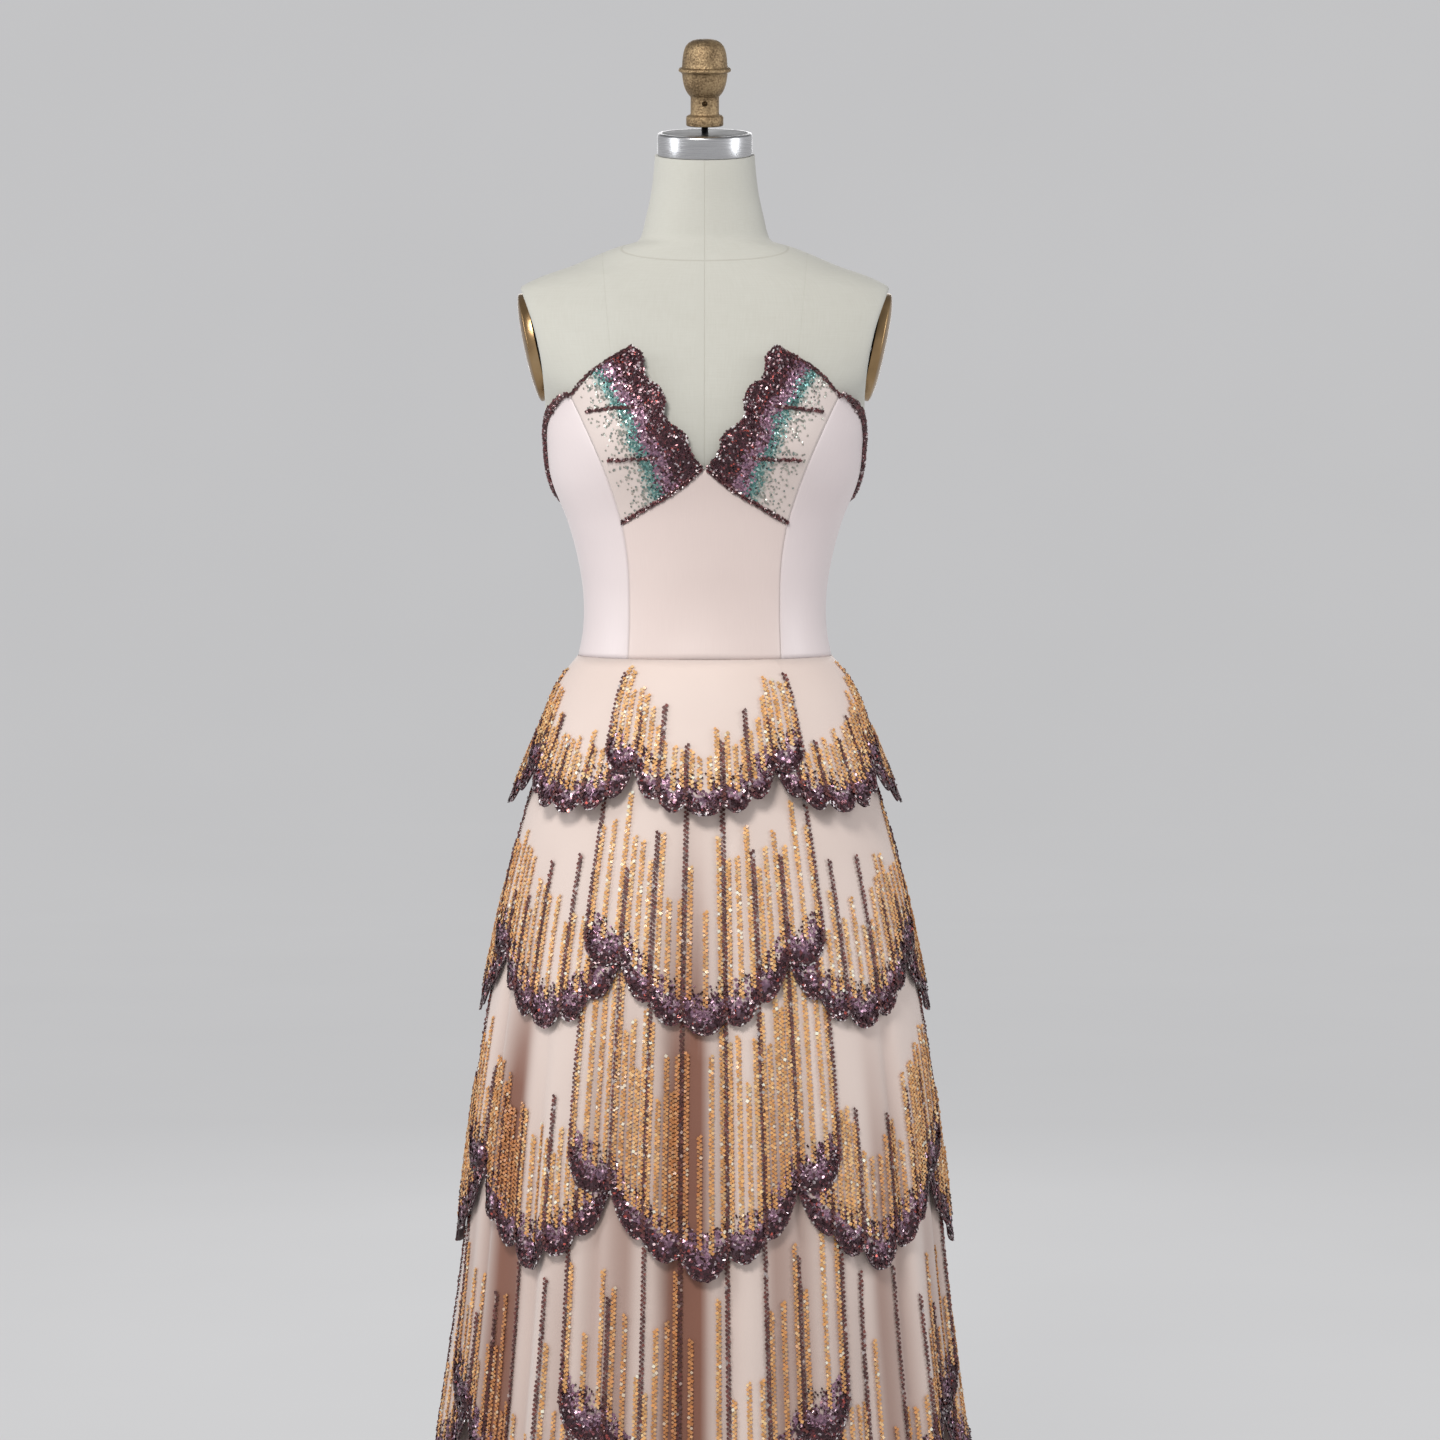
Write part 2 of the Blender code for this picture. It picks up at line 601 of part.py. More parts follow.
def make_zip(collection):
    """Closed tape between the centre backs, the slider on it, and the pull tab on the slider's pin."""
    seam = straight_seam(180, side_rows()[::2])
    reach = (ZIP_HALF_WIDTH - SEAM_GAP / 2) / smooth(seam[:, 1], SECTION_Z, HALF_WIDTH)
    columns = pi + np.outer(reach, (1, 0, -1)) * -1
    heights = np.repeat(seam[:, 1:], 3, axis=1)
    grid = np.stack([columns, heights], axis=-1)
    surface = torso(grid[..., 0], grid[..., 1])
    outward = torso_outward(grid[..., 0], grid[..., 1])
    inner = surface + outward * BODICE_CLEARANCE
    cloth_wall("zip_tape", list(inner), list(inner + outward * BODICE_CLOTH), "zip_coil", collection)

    height = seam[-1, 1] - ZIP_SLIDER_DROP
    seat = torso(np.array([pi]), np.array([height]))[0]
    normal = torso_outward(np.array([pi]), np.array([height]))[0]
    tilt = atan2(normal[2], normal[1])
    seat = Vector(seat + normal * (BODICE_CLEARANCE + BODICE_CLOTH + SEAM_GAP))
    place = Matrix.Translation(seat) @ Matrix.Rotation(tilt, 4, "X")
    make_zip_slider(place, collection)
    make_zip_pull(Matrix.Translation(place @ Vector((0, PIN_OUT, 0))), collection)


def block(name, size, centre, place, material, collection):
    bpy.ops.mesh.primitive_cube_add(size=1)
    item = bpy.context.object
    item.name = name
    item.matrix_world = place @ Matrix.Translation(centre) @ Matrix.Diagonal((*size, 1))
    if material:
        item.data.materials.append(bpy.data.materials[material])
    move_to(item, collection)
    return item


def rod(name, radius, length, centre, place, collection):
    """A cylinder along local X."""
    bpy.ops.mesh.primitive_cylinder_add(vertices=16, radius=radius, depth=length)
    item = bpy.context.object
    item.name = name
    item.matrix_world = place @ Matrix.Translation(centre) @ Matrix.Rotation(pi / 2, 4, "Y")
    move_to(item, collection)
    return item


def combine(item, other, operation):
    joined = item.modifiers.new(other.name, "BOOLEAN")
    joined.operation = operation
    joined.solver = "EXACT"
    joined.object = other
    other.display_type = "WIRE"


def make_zip_slider(place, collection):
    cutters = bpy.data.collections["cutters"]
    middle = (0, SLIDER_SIZE[1] / 2, 0)
    slider = block("zip_slider", SLIDER_SIZE, middle, place, "zip_metal", collection)
    cheek_size = (CHEEK_THICKNESS, PIN_OUT, CHEEK_HEIGHT)
    cheek_x = (CHEEK_GAP + CHEEK_THICKNESS) / 2
    cheek_y = PIN_OUT / 2 + CHEEK_THICKNESS
    for side, name in ((-1, "left"), (1, "right")):
        cheek = block(f"cheek_{name}", cheek_size, (side * cheek_x, cheek_y, 0), place, None, cutters)
        combine(slider, cheek, "UNION")
    pin = rod("slider_pin", PIN_RADIUS, CHEEK_GAP + CHEEK_THICKNESS, (0, PIN_OUT, 0), place, cutters)
    combine(slider, pin, "UNION")


def make_zip_pull(at_pin, collection):
    """The tab hangs plumb from an eye round the slider's pin, and its origin is on the pin."""
    cutters = bpy.data.collections["cutters"]
    width, thick, length = PULL_SIZE
    drop = PULL_HOLE_RADIUS + PULL_OVERLAP
    centre = (0, 0, -drop - length / 2)
    pull = block("zip_pull", (width, thick, length), centre, at_pin, "zip_metal", collection)
    pull.data.transform(at_pin.inverted() @ pull.matrix_world)
    pull.matrix_world = at_pin
    middle = (0, 0, 0)
    combine(pull, rod("pull_eye", PULL_EYE_RADIUS, width, middle, at_pin, cutters), "UNION")
    combine(pull, rod("pull_hole", PULL_HOLE_RADIUS, 2 * width, middle, at_pin, cutters), "DIFFERENCE")


# The skirt: a faceted flared tube, and the petals on its facets.

LEVEL_Z, LEVEL_HALF, LEVEL_FRONT, LEVEL_BACK = columns_of(SKIRT_LEVELS)
COLUMN_ANGLES = np.arange(SKIRT_COLUMNS) * 2 * pi / SKIRT_COLUMNS


def outward_in_plan(angle):
    """Direction in which every layer of the skirt is moved out, the same at all heights."""
    direction = np.stack([np.sin(angle), -LIFT_WIDTH_TO_DEPTH * np.cos(angle), 0 * angle], axis=-1)
    return direction / np.linalg.norm(direction, axis=-1, keepdims=True)


def fold_depth(angle, z):
    """How far the folds draw the skirt in: soft troughs that deepen from where they begin to the hem."""
    depth = 0 * angle
    for degrees, deep, width, start in FOLDS:
        away = np.degrees(np.angle(np.exp(1j * (angle - radians(degrees)))))
        growth = max(0.0, (start * MM - z) / (start * MM)) ** 1.1
        depth = depth + deep * MM * growth * np.exp(-((away / width) ** 2))
    return depth


def skirt_levels():
    """The skirt's outer points, one row for each level."""
    rows = []
    for z, half, front, back in zip(LEVEL_Z, LEVEL_HALF, LEVEL_FRONT, LEVEL_BACK):
        depth = np.where(np.cos(COLUMN_ANGLES) > 0, front, back)
        x = half * np.sin(COLUMN_ANGLES)
        y = -depth * np.cos(COLUMN_ANGLES)
        row = np.stack([x, y, np.full(SKIRT_COLUMNS, z)], axis=-1)
        rows.append(row - outward_in_plan(COLUMN_ANGLES) * fold_depth(COLUMN_ANGLES, z)[:, None])
    return np.array(rows)


def on_skirt(levels, column, z, lift):
    """Points of the skirt's facets at a column number, whole or not, and a height, moved out."""
    first = np.floor(column).astype(int)
    share = (column - first)[:, None]
    a, b = first % SKIRT_COLUMNS, (first + 1) % SKIRT_COLUMNS
    i = np.clip(np.searchsorted(LEVEL_Z, z) - 1, 0, len(LEVEL_Z) - 2)
    t = ((z - LEVEL_Z[i]) / (LEVEL_Z[i + 1] - LEVEL_Z[i]))[:, None]
    low = (1 - share) * levels[i, a] + share * levels[i, b]
    high = (1 - share) * levels[i + 1, a] + share * levels[i + 1, b]
    out = outward_in_plan(COLUMN_ANGLES)
    out = (1 - share) * out[a] + share * out[b]
    return (1 - t) * low + t * high + lift[:, None] * out


def make_underskirt(levels, collection):
    inner = levels - outward_in_plan(COLUMN_ANGLES)[None] * SKIRT_CLOTH
    cloth_wall("underskirt", list(inner), list(levels), "blush_lining", collection, tube=True)


def side_lobe(inward, notch, lobe):
    """A quarter round from the petal's edge down to the lobe's lowest point, and one up to its notch."""
    foot = notch - LOBE_HANG
    if inward < LOBE_TURN:
        return foot + lobe * (1 - (1 - (1 - inward / LOBE_TURN) ** 2) ** 0.5)
    beyond = (inward - LOBE_TURN) / (1 - LOBE_TURN)
    return foot + LOBE_HANG * (1 - (1 - beyond**2) ** 0.5)


def scalloped_hem(lowest, rise, bow, drop, tongue, lobe):
    """Heights along a petal's hem: a bowed V with seven scallops. The middle one is a blunt tongue,
    and the outer ones are round lobes."""
    heights = []
    place = 0
    total = sum(SCALLOP_STEPS)
    notch = lowest + tongue + rise * abs(2 * SCALLOP_STEPS[0] / total - 1) ** bow
    for number, steps in enumerate(SCALLOP_STEPS):
        for step in range(steps + (number == len(SCALLOP_STEPS) - 1)):
            t = step / steps
            across = abs(2 * (place + step) / total - 1)
            line = lowest + tongue + rise * across**bow
            if number == len(SCALLOP_STEPS) // 2:
                heights.append(line - tongue * (1 - abs(2 * t - 1) ** 2.6))
            elif number in (0, len(SCALLOP_STEPS) - 1):
                heights.append(side_lobe(1 - t if number else t, notch, lobe))
            else:
                heights.append(line - drop * sin(pi * t) ** 0.8)
        place += steps
    return np.array(heights) * MM


def layer_lift(number, share):
    """Distance of a petal from the skirt. Each petal lies on the next one towards the back."""
    if number == 0:
        return np.full(len(share), OUTER_LAYER)
    if number == PETALS // 2:
        return np.full(len(share), INNER_LAYER)
    towards_back = share if number < PETALS // 2 else 1 - share
    return INNER_LAYER + (OUTER_LAYER - INNER_LAYER) * towards_back


def make_petal(levels, tier, number, collection):
    seam, rows, lowest, rise, bow, drop, tongue, lobe, stand_off = TIERS[tier]
    start = number * SKIRT_COLUMNS / PETALS - PETAL_COLUMNS / 2
    inner, outer = [], []
    hem = scalloped_hem(lowest, rise, bow, drop, tongue, lobe)
    heights = [hem] + [np.full(PETAL_COLUMNS + 1, z * MM) for z in reversed((seam, *rows))]
    for z in heights:
        share = np.linspace(0, 1, len(z))
        down = (seam * MM - z) / ((seam - lowest) * MM)
        lift = layer_lift(number, share) + stand_off * MM * down
        column = start + share * PETAL_COLUMNS
        inner.append(on_skirt(levels, column, z, lift))
        outer.append(on_skirt(levels, column, z, lift + PETAL_CLOTH))
    cloth_wall(f"tier_{tier + 1}_petal_{number}", inner, outer, "beaded_tulle", collection)


def build():
    clear_scene()
    make_materials()
    parts = new_collection("evening_gown_on_dress_form")
    cutters = new_collection("cutters", shown=False)
    form = make_form_body(parts)
    cut_armholes(form, cutters)
    make_neck_fittings(parts, cutters)
    make_arm_plates(parts)
    make_stand(parts)
    make_front_centre(parts)
    for side, name in ((-1, "left"), (1, "right")):
        make_cup(side, f"cup_{name}", parts)
        make_side_and_back(side, name, parts)
    make_zip(parts)
    levels = skirt_levels()
    make_underskirt(levels, parts)
    for tier in range(len(TIERS)):
        for number in range(PETALS):
            make_petal(levels, tier, number, parts)


build()
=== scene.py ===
"""Looks of a tiered beaded evening gown on a linen dress form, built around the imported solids.

Metres, +Z up, front towards -Y. Angles run round the body from the front (0) towards +X (90).
The sections follow the object as it is put together: stand, form, bodice, zip, skirt, tiers.
"""

import json

import bpy
import numpy as np
from mathutils import Matrix, Vector

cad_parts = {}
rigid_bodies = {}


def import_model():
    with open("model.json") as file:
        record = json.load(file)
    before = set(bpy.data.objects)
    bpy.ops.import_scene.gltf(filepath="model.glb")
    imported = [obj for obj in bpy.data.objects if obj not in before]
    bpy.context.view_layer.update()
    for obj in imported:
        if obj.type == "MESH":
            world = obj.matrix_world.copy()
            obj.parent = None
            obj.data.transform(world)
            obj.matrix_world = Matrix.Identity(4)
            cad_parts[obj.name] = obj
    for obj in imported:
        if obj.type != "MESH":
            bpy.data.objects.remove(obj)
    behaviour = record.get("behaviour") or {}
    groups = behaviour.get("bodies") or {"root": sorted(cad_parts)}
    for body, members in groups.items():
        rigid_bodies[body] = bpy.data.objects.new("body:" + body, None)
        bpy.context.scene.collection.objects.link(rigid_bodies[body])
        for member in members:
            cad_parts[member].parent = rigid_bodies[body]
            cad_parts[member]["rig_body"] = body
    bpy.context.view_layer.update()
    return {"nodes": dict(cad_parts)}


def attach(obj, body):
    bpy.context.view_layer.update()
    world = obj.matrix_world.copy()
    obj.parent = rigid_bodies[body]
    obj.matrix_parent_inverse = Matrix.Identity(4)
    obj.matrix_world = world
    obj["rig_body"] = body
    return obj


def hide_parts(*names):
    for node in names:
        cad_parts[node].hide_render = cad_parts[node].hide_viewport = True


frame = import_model()

# The stand: a round cast-iron foot with a boss, and a steel pole screwed into it, both painted
# black. The foot is turned on a lathe, and the pole carries the form from below.

MM = 0.001
BODY = "gown_on_form"
FOOT_PROFILE = [
    (0, 0), (187, 0), (189.4, 0.6), (190, 2), (190, 7.4), (188.6, 9.4), (185, 10.3), (60, 16),
    (40, 17.2), (33.5, 19.5), (31.2, 23), (30.4, 36), (29.6, 38.8), (27.5, 40), (0, 40),
]
POLE_RADIUS = 13.5
POLE_FOOT = 40.3
FORM_FOOT = 829.7
TURNED_EDGE = 40  # degrees between two faces, past which their edge is sharp


def lay_flat(mesh, name, layout):
    """Keeps a flat place for each point as a UV map, which holds it at each corner of a face."""
    numbers = np.zeros(len(mesh.loops), np.int32)
    mesh.loops.foreach_get("vertex_index", numbers)
    flat = layout.reshape(-1, 2)[numbers].astype(np.float32)
    mesh.uv_layers.new(name=name).uv.foreach_set("vector", flat.ravel())


def new_piece(name, points, faces, finish, smooth=True, layout=None):
    """A mesh from arrays of points and of faces, with a flat place for each point in layout."""
    points = points.reshape(-1, 3)
    mesh = bpy.data.meshes.new(name)
    if isinstance(faces, np.ndarray):
        count, corners = faces.shape
        mesh.vertices.add(len(points))
        mesh.vertices.foreach_set("co", points.astype(np.float32).ravel())
        mesh.loops.add(count * corners)
        mesh.loops.foreach_set("vertex_index", faces.astype(np.int32).ravel())
        mesh.polygons.add(count)
        mesh.polygons.foreach_set("loop_start", np.arange(count, dtype=np.int32) * corners)
        mesh.update(calc_edges=True)
    else:
        mesh.from_pydata(points.tolist(), [], faces)
    mesh.polygons.foreach_set("use_smooth", np.full(len(mesh.polygons), smooth))
    if layout is not None:
        lay_flat(mesh, "cloth", layout)
    mesh.materials.append(finish)
    piece = bpy.data.objects.new(name, mesh)
    bpy.context.scene.collection.objects.link(piece)
    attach(piece, BODY)
    return piece


def grid_faces(rows, columns, closed=False):
    """Squares between the points of a grid, row by row, joined round if closed. They face out
    where columns run anticlockwise seen from above and rows run up."""
    r, c = np.meshgrid(np.arange(rows - 1), np.arange(columns - (not closed)), indexing="ij")
    a = (r * columns + c).ravel()
    b = (r * columns + (c + 1) % columns).ravel()
    return np.stack([a, b, b + columns, a + columns], axis=-1)


def capped_faces(rows, columns):
    """The squares of a grid joined round, with a cap at its foot and one at its head."""
    last = (rows - 1) * columns
    caps = [list(range(columns))[::-1], list(range(last, last + columns))]
    return grid_faces(rows, columns, closed=True).tolist() + caps


def all_round(count):
    return np.arange(count) * 2 * np.pi / count


def revolved(rings, sides):
    """Points of a profile of radius and height, carried round the axis: x = radius * sin(angle),
    y = -radius * cos(angle)."""
    radius, height, angles = rings[:, :1], rings[:, 1:], all_round(sides)
    points = [radius * np.sin(angles), -radius * np.cos(angles), height + 0 * angles]
    return np.stack(points, axis=-1).reshape(-1, 3)


def turned(name, profile, sides, finish, place=None):
    """A closed solid of revolution from a profile of radius and height in mm, whose first and last
    points lie on the axis. place is where its axis stands."""
    rings = np.array(profile[1:-1], float) * MM
    points = revolved(rings, sides)
    if place is not None:
        points = points @ np.array(place.to_3x3()).T + np.array(place.translation)
    piece = new_piece(name, points, capped_faces(len(rings), sides), finish)
    piece.data.set_sharp_from_angle(angle=np.radians(TURNED_EDGE))
    return piece


def new_finish(name, colour, roughness, metallic=0.0, **more):
    """A node material with the values that are the same all over on its shader's own sockets."""
    finish = bpy.data.materials.new(name)
    finish.use_nodes = True
    sockets = finish.node_tree.nodes["Principled BSDF"].inputs
    sockets["Base Color"].default_value = (*colour, 1)
    sockets["Roughness"].default_value = roughness
    sockets["Metallic"].default_value = metallic
    for socket, value in more.items():
        sockets[socket.replace("_", " ")].default_value = value
    return finish


def put(finish, kind, inputs=None, **settings):
    """Adds a node with its settings, and wires or sets its inputs."""
    node = finish.node_tree.nodes.new(kind)
    for key, value in settings.items():
        setattr(node, key, value)
    for socket, value in (inputs or {}).items():
        if isinstance(value, bpy.types.NodeSocket):
            finish.node_tree.links.new(value, node.inputs[socket])
        else:
            node.inputs[socket].default_value = value
    return node


def to_shader(finish, socket, source):
    shader = finish.node_tree.nodes["Principled BSDF"]
    finish.node_tree.links.new(source, shader.inputs[socket])


def object_place(finish):
    return put(finish, "ShaderNodeTexCoord").outputs["Object"]


def cloth_place(finish):
    return put(finish, "ShaderNodeUVMap", uv_map="cloth").outputs["UV"]


def split(finish, place):
    """The three coordinates of a place."""
    return put(finish, "ShaderNodeSeparateXYZ", {"Vector": place}).outputs


def noise(finish, place, scale, detail=3.0, stretch=(1, 1, 1)):
    """Soft noise from 0 to 1 over a place, finer along the axes that are stretched more."""
    spread = put(finish, "ShaderNodeMapping", {"Vector": place, "Scale": stretch})
    texture = put(
        finish, "ShaderNodeTexNoise",
        {"Vector": spread.outputs[0], "Scale": scale, "Detail": detail},
    )
    return texture.outputs["Fac"]


def ramp(finish, share, stops):
    """Colours along a share from 0 to 1, given as place and colour."""
    node = put(finish, "ShaderNodeValToRGB", {"Fac": share})
    elements = node.color_ramp.elements
    while len(elements) < len(stops):
        elements.new(1.0)
    for element, (at, colour) in zip(elements, stops):
        element.position = at
        element.color = (*colour, 1)
    return node.outputs["Color"]


def coloured(finish, share, *stops):
    """Gives the finish its base colour along a share from 0 to 1."""
    to_shader(finish, "Base Color", ramp(finish, share, stops))


def worn_gloss(finish, share, change, least):
    """Roughness that rises from least by change times a share."""
    to_shader(finish, "Roughness", math(finish, "MULTIPLY_ADD", share, change, least))


def bump(finish, height, strength, distance=0.001, under=None):
    """Bends the shading by a height from 0 to 1, that stands for distance in metres."""
    inputs = {"Height": height, "Strength": strength, "Distance": distance}
    if under is not None:
        inputs["Normal"] = under
    normal = put(finish, "ShaderNodeBump", inputs).outputs["Normal"]
    to_shader(finish, "Normal", normal)
    return normal


def math(finish, operation, a, b=0.0, c=0.0):
    return put(finish, "ShaderNodeMath", {0: a, 1: b, 2: c}, operation=operation).outputs[0]


def weighed(finish, fine, share, broad, rest):
    """Fine noise times its share plus broad noise times the rest."""
    return math(finish, "MULTIPLY_ADD", fine, share, math(finish, "MULTIPLY", broad, rest))


stand_iron = new_finish("stand_iron", (0.03, 0.03, 0.032), 0.45, 0.5)
place = object_place(stand_iron)
cast = noise(stand_iron, place, 260, 5)
coloured(stand_iron, cast, (0.3, (0.02, 0.02, 0.022)), (0.7, (0.05, 0.05, 0.055)))
worn_gloss(stand_iron, noise(stand_iron, place, 30), 0.3, 0.3)
bump(stand_iron, cast, 0.25, 0.0006)

foot = turned("stand_foot", FOOT_PROFILE, 96, stand_iron)
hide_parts("stand_base")
pole_profile = [
    (0, POLE_FOOT), (POLE_RADIUS, POLE_FOOT), (POLE_RADIUS, FORM_FOOT), (0, FORM_FOOT),
]
pole = turned("stand_tube", pole_profile, 48, stand_iron)
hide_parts("stand_pole")

# The dress form's torso and neck: off-white linen stretched over a padded papier-mache shell and
# sewn at the centre front, the princess lines, the neck and the shoulders. Its shape is a rounded
# oval at each height, planed flat at the armholes.

# height, half width, front depth, back depth, centre set back, squareness, tilt in degrees
FORM_SECTIONS = [
    (830, 157, 104, 111, 0, 2.0, 0),
    (900, 160, 110, 118, 0, 2.0, 0),
    (985, 153, 110, 117, 0, 2.0, 0),
    (1020, 142, 105, 105, 0, 2.0, 0),
    (1055, 127.5, 98, 88, 0, 2.0, 0),
    (1080, 122.5, 94, 84, 0, 2.0, 0),
    (1112, 121.5, 93, 83, 0, 2.0, 0),
    (1153, 127.0, 98, 87, 0, 2.0, 0),
    (1194, 138.0, 105, 94, 0, 2.0, 0),
    (1235, 154.0, 111, 101, 0, 2.0, 0),
    (1276, 161.0, 114, 105, 0, 2.0, 0),
    (1312, 167.0, 110, 107, 0, 2.1, 0),
    (1345, 187, 102, 105, 1, 2.3, 0),
    (1380, 199, 92, 100, 4, 2.5, 0),
    (1406, 202, 83, 94, 6, 2.5, 0),
    (1429, 192, 71, 85, 8, 2.4, 0),
    (1441, 172, 66, 79, 10, 2.3, 0),
    (1454, 136, 62, 71, 12, 2.1, 0),
    (1466, 108, 59, 64, 13, 2.0, 0),
    (1474, 87, 57.5, 60, 13, 2.0, 0),
    (1479, 69, 56.5, 58, 13, 2.0, 0),
    (1485, 65, 55, 56, 12, 2.0, 0),
    (1503, 60.5, 54, 54, 10, 2.0, 0),
    (1528, 55, 52, 52, 6, 2.0, 3),
    (1552, 52, 51, 51, 2, 2.0, 6),
    (1566, 51, 50, 50, 0, 2.0, 9.5),
]
BUST = {"x": 0.084, "z": 1.276, "depth": 0.023, "width": 0.047, "above": 0.072, "below": 0.050}
BUST_HOLLOW = 0.35
ARMHOLE_TOP = (0.1895, 1.429)
ARMHOLE_BOTTOM = (0.1645, 1.312)
ARMHOLE_Y = 0.004
ARMHOLE_HALF = 0.064
ARMHOLE_HOLLOW = 0.0085
ARMHOLE_FROM = 1.268
ARMHOLE_FADE = 0.03
ARMHOLE_ROUND = 0.0008
FORM_ROWS = 150
FORM_COLUMNS = 144
FORM_GIRTH_RADIUS = 0.13


def columns_of(table, unit=MM):
    return [np.array(column, float) * unit for column in zip(*table)]


def cubic(at, knots, values, slopes):
    """Cubic curve from knot to knot, through their values and with their slopes."""
    i = np.clip(np.searchsorted(knots, at) - 1, 0, len(knots) - 2)
    step = knots[i + 1] - knots[i]
    t = (at - knots[i]) / step
    start = (1 + 2 * t) * (1 - t) ** 2 * values[i] + t * (1 - t) ** 2 * step * slopes[i]
    end = t * t * (3 - 2 * t) * values[i + 1] + t * t * (t - 1) * step * slopes[i + 1]
    return start + end


def smooth(at, knots, values):
    """Cubic curve through the knots, with the slope at each knot taken from its neighbours."""
    return cubic(at, knots, values, np.gradient(values, knots))


def held(at, knots, values):
    """The same cubic with its slopes held back, so that it never swings past a knot: the slope at a
    knot is the harmonic mean of the slopes on both sides, or nothing at a peak or a dip."""
    rise = np.diff(values) / np.diff(knots)
    before, after = rise[:-1], rise[1:]
    same = before * after > 0
    middle = np.where(same, 2 * before * after / np.where(same, before + after, 1), 0)
    return cubic(at, knots, values, np.concatenate([rise[:1], middle, rise[-1:]]))


def ease(share):
    """From 0 to 1 with level ends: 3 s^2 - 2 s^3."""
    share = np.clip(share, 0, 1)
    return share * share * (3 - 2 * share)


SECTION_Z, HALF_WIDTH, FRONT_DEPTH, BACK_DEPTH, SET_BACK = columns_of(FORM_SECTIONS)[:5]
SQUARENESS, SECTION_TILT = columns_of(FORM_SECTIONS, 1)[5:]


def torso(angle, z, curve=smooth):
    """Points of the form: a superellipse at each height, with the bust pushed forward as a bell
    curve across and a bell curve up. The curve runs through the sections."""
    s, c = np.sin(angle), np.cos(angle)
    square = curve(z, SECTION_Z, SQUARENESS)
    reach = (np.abs(s) ** square + np.abs(c) ** square) ** (-1 / square)
    depth = np.where(c > 0, curve(z, SECTION_Z, FRONT_DEPTH), curve(z, SECTION_Z, BACK_DEPTH))
    x = curve(z, SECTION_Z, HALF_WIDTH) * s * reach
    beyond = np.maximum(np.abs(x) - BUST["x"], 0) / BUST["width"]
    within = np.minimum(np.abs(x) / BUST["x"], 1)
    across = np.exp(-(beyond**2)) - BUST_HOLLOW * (1 - within**2) ** 2
    height = np.where(z > BUST["z"], BUST["above"], BUST["below"])
    upright = np.exp(-(((z - BUST["z"]) / height) ** 2))
    bust = BUST["depth"] * across * upright * ease(c / 0.4)
    y = curve(z, SECTION_Z, SET_BACK) - depth * c * reach - bust
    return np.stack([x, y, z + 0 * x], axis=-1)


def torso_outward(angle, z):
    """Unit normals of the form, from small steps round it and up it."""
    step = 0.002
    across = torso(angle + step, z) - torso(angle - step, z)
    up = torso(angle, z + step) - torso(angle, z - step)
    normal = np.cross(across, up)
    return normal / np.linalg.norm(normal, axis=-1, keepdims=True)


def planed(points):
    """Moves what lies outside the flat of an armhole level back onto it, by the soft maximum of
    nothing and the overlap d: round * log(1 + exp(d / round)). The flat is a little hollow."""
    top, bottom = np.array(ARMHOLE_TOP), np.array(ARMHOLE_BOTTOM)
    up = (top - bottom) / np.linalg.norm(top - bottom)
    lean = up[0] / up[1]
    middle = (top + bottom) / 2
    up_flat = (points[..., 2] - middle[1]) / ARMHOLE_HALF
    edge = middle[0] + (points[..., 2] - middle[1]) * lean
    edge = edge - ARMHOLE_HOLLOW * np.clip(1 - up_flat**2, 0, 1)
    over = np.abs(points[..., 0]) - edge
    back = ARMHOLE_ROUND * np.logaddexp(0, over / ARMHOLE_ROUND)
    back = back * ease((points[..., 2] - ARMHOLE_FROM) / ARMHOLE_FADE)
    points[..., 0] -= np.sign(points[..., 0]) * back
    return points


def mix_colours(finish, share, first, second):
    """The first colour, turned into the second by a share."""
    inputs = {0: share, 6: first, 7: second}
    return put(finish, "ShaderNodeMix", inputs, data_type="RGBA").outputs[2]


def seam_line(finish, away, width):
    """1 on a seam and 0 beyond its width, from the distance to the seam."""
    return put(
        finish, "ShaderNodeMapRange",
        {"Value": away, "From Min": 0.0, "From Max": width, "To Min": 1.0, "To Max": 0.0},
        interpolation_type="SMOOTHSTEP",
    ).outputs[0]


linen = new_finish("linen", (0.56, 0.55, 0.50), 0.85, Sheen_Weight=0.15, Sheen_Roughness=0.6)
place = object_place(linen)
cloth = cloth_place(linen)
# Slubs: threads sixteen times as long as they are wide, in both directions of the weave
warp, weft = noise(linen, cloth, 900, 2, (1, 0.06, 1)), noise(linen, cloth, 900, 2, (0.06, 1, 1))
slubs = math(linen, "ADD", warp, weft)
patches = noise(linen, place, 7, 4)
tone = weighed(linen, slubs, 0.35, patches, 0.4)
linen_colour = ramp(linen, tone, [(0.3, (0.485, 0.475, 0.42)), (0.8, (0.555, 0.55, 0.50))])
x, y, z = split(linen, place)
front_seam = seam_line(linen, math(linen, "ABSOLUTE", x), 0.0007)
# The neck's seam is level with 1476.5 mm at the axis and climbs 0.40 mm for each mm backwards
neck_height = math(linen, "SUBTRACT", z, math(linen, "MULTIPLY_ADD", y, 0.40, 1.4765))
neck_seam = seam_line(linen, math(linen, "ABSOLUTE", neck_height), 0.0008)
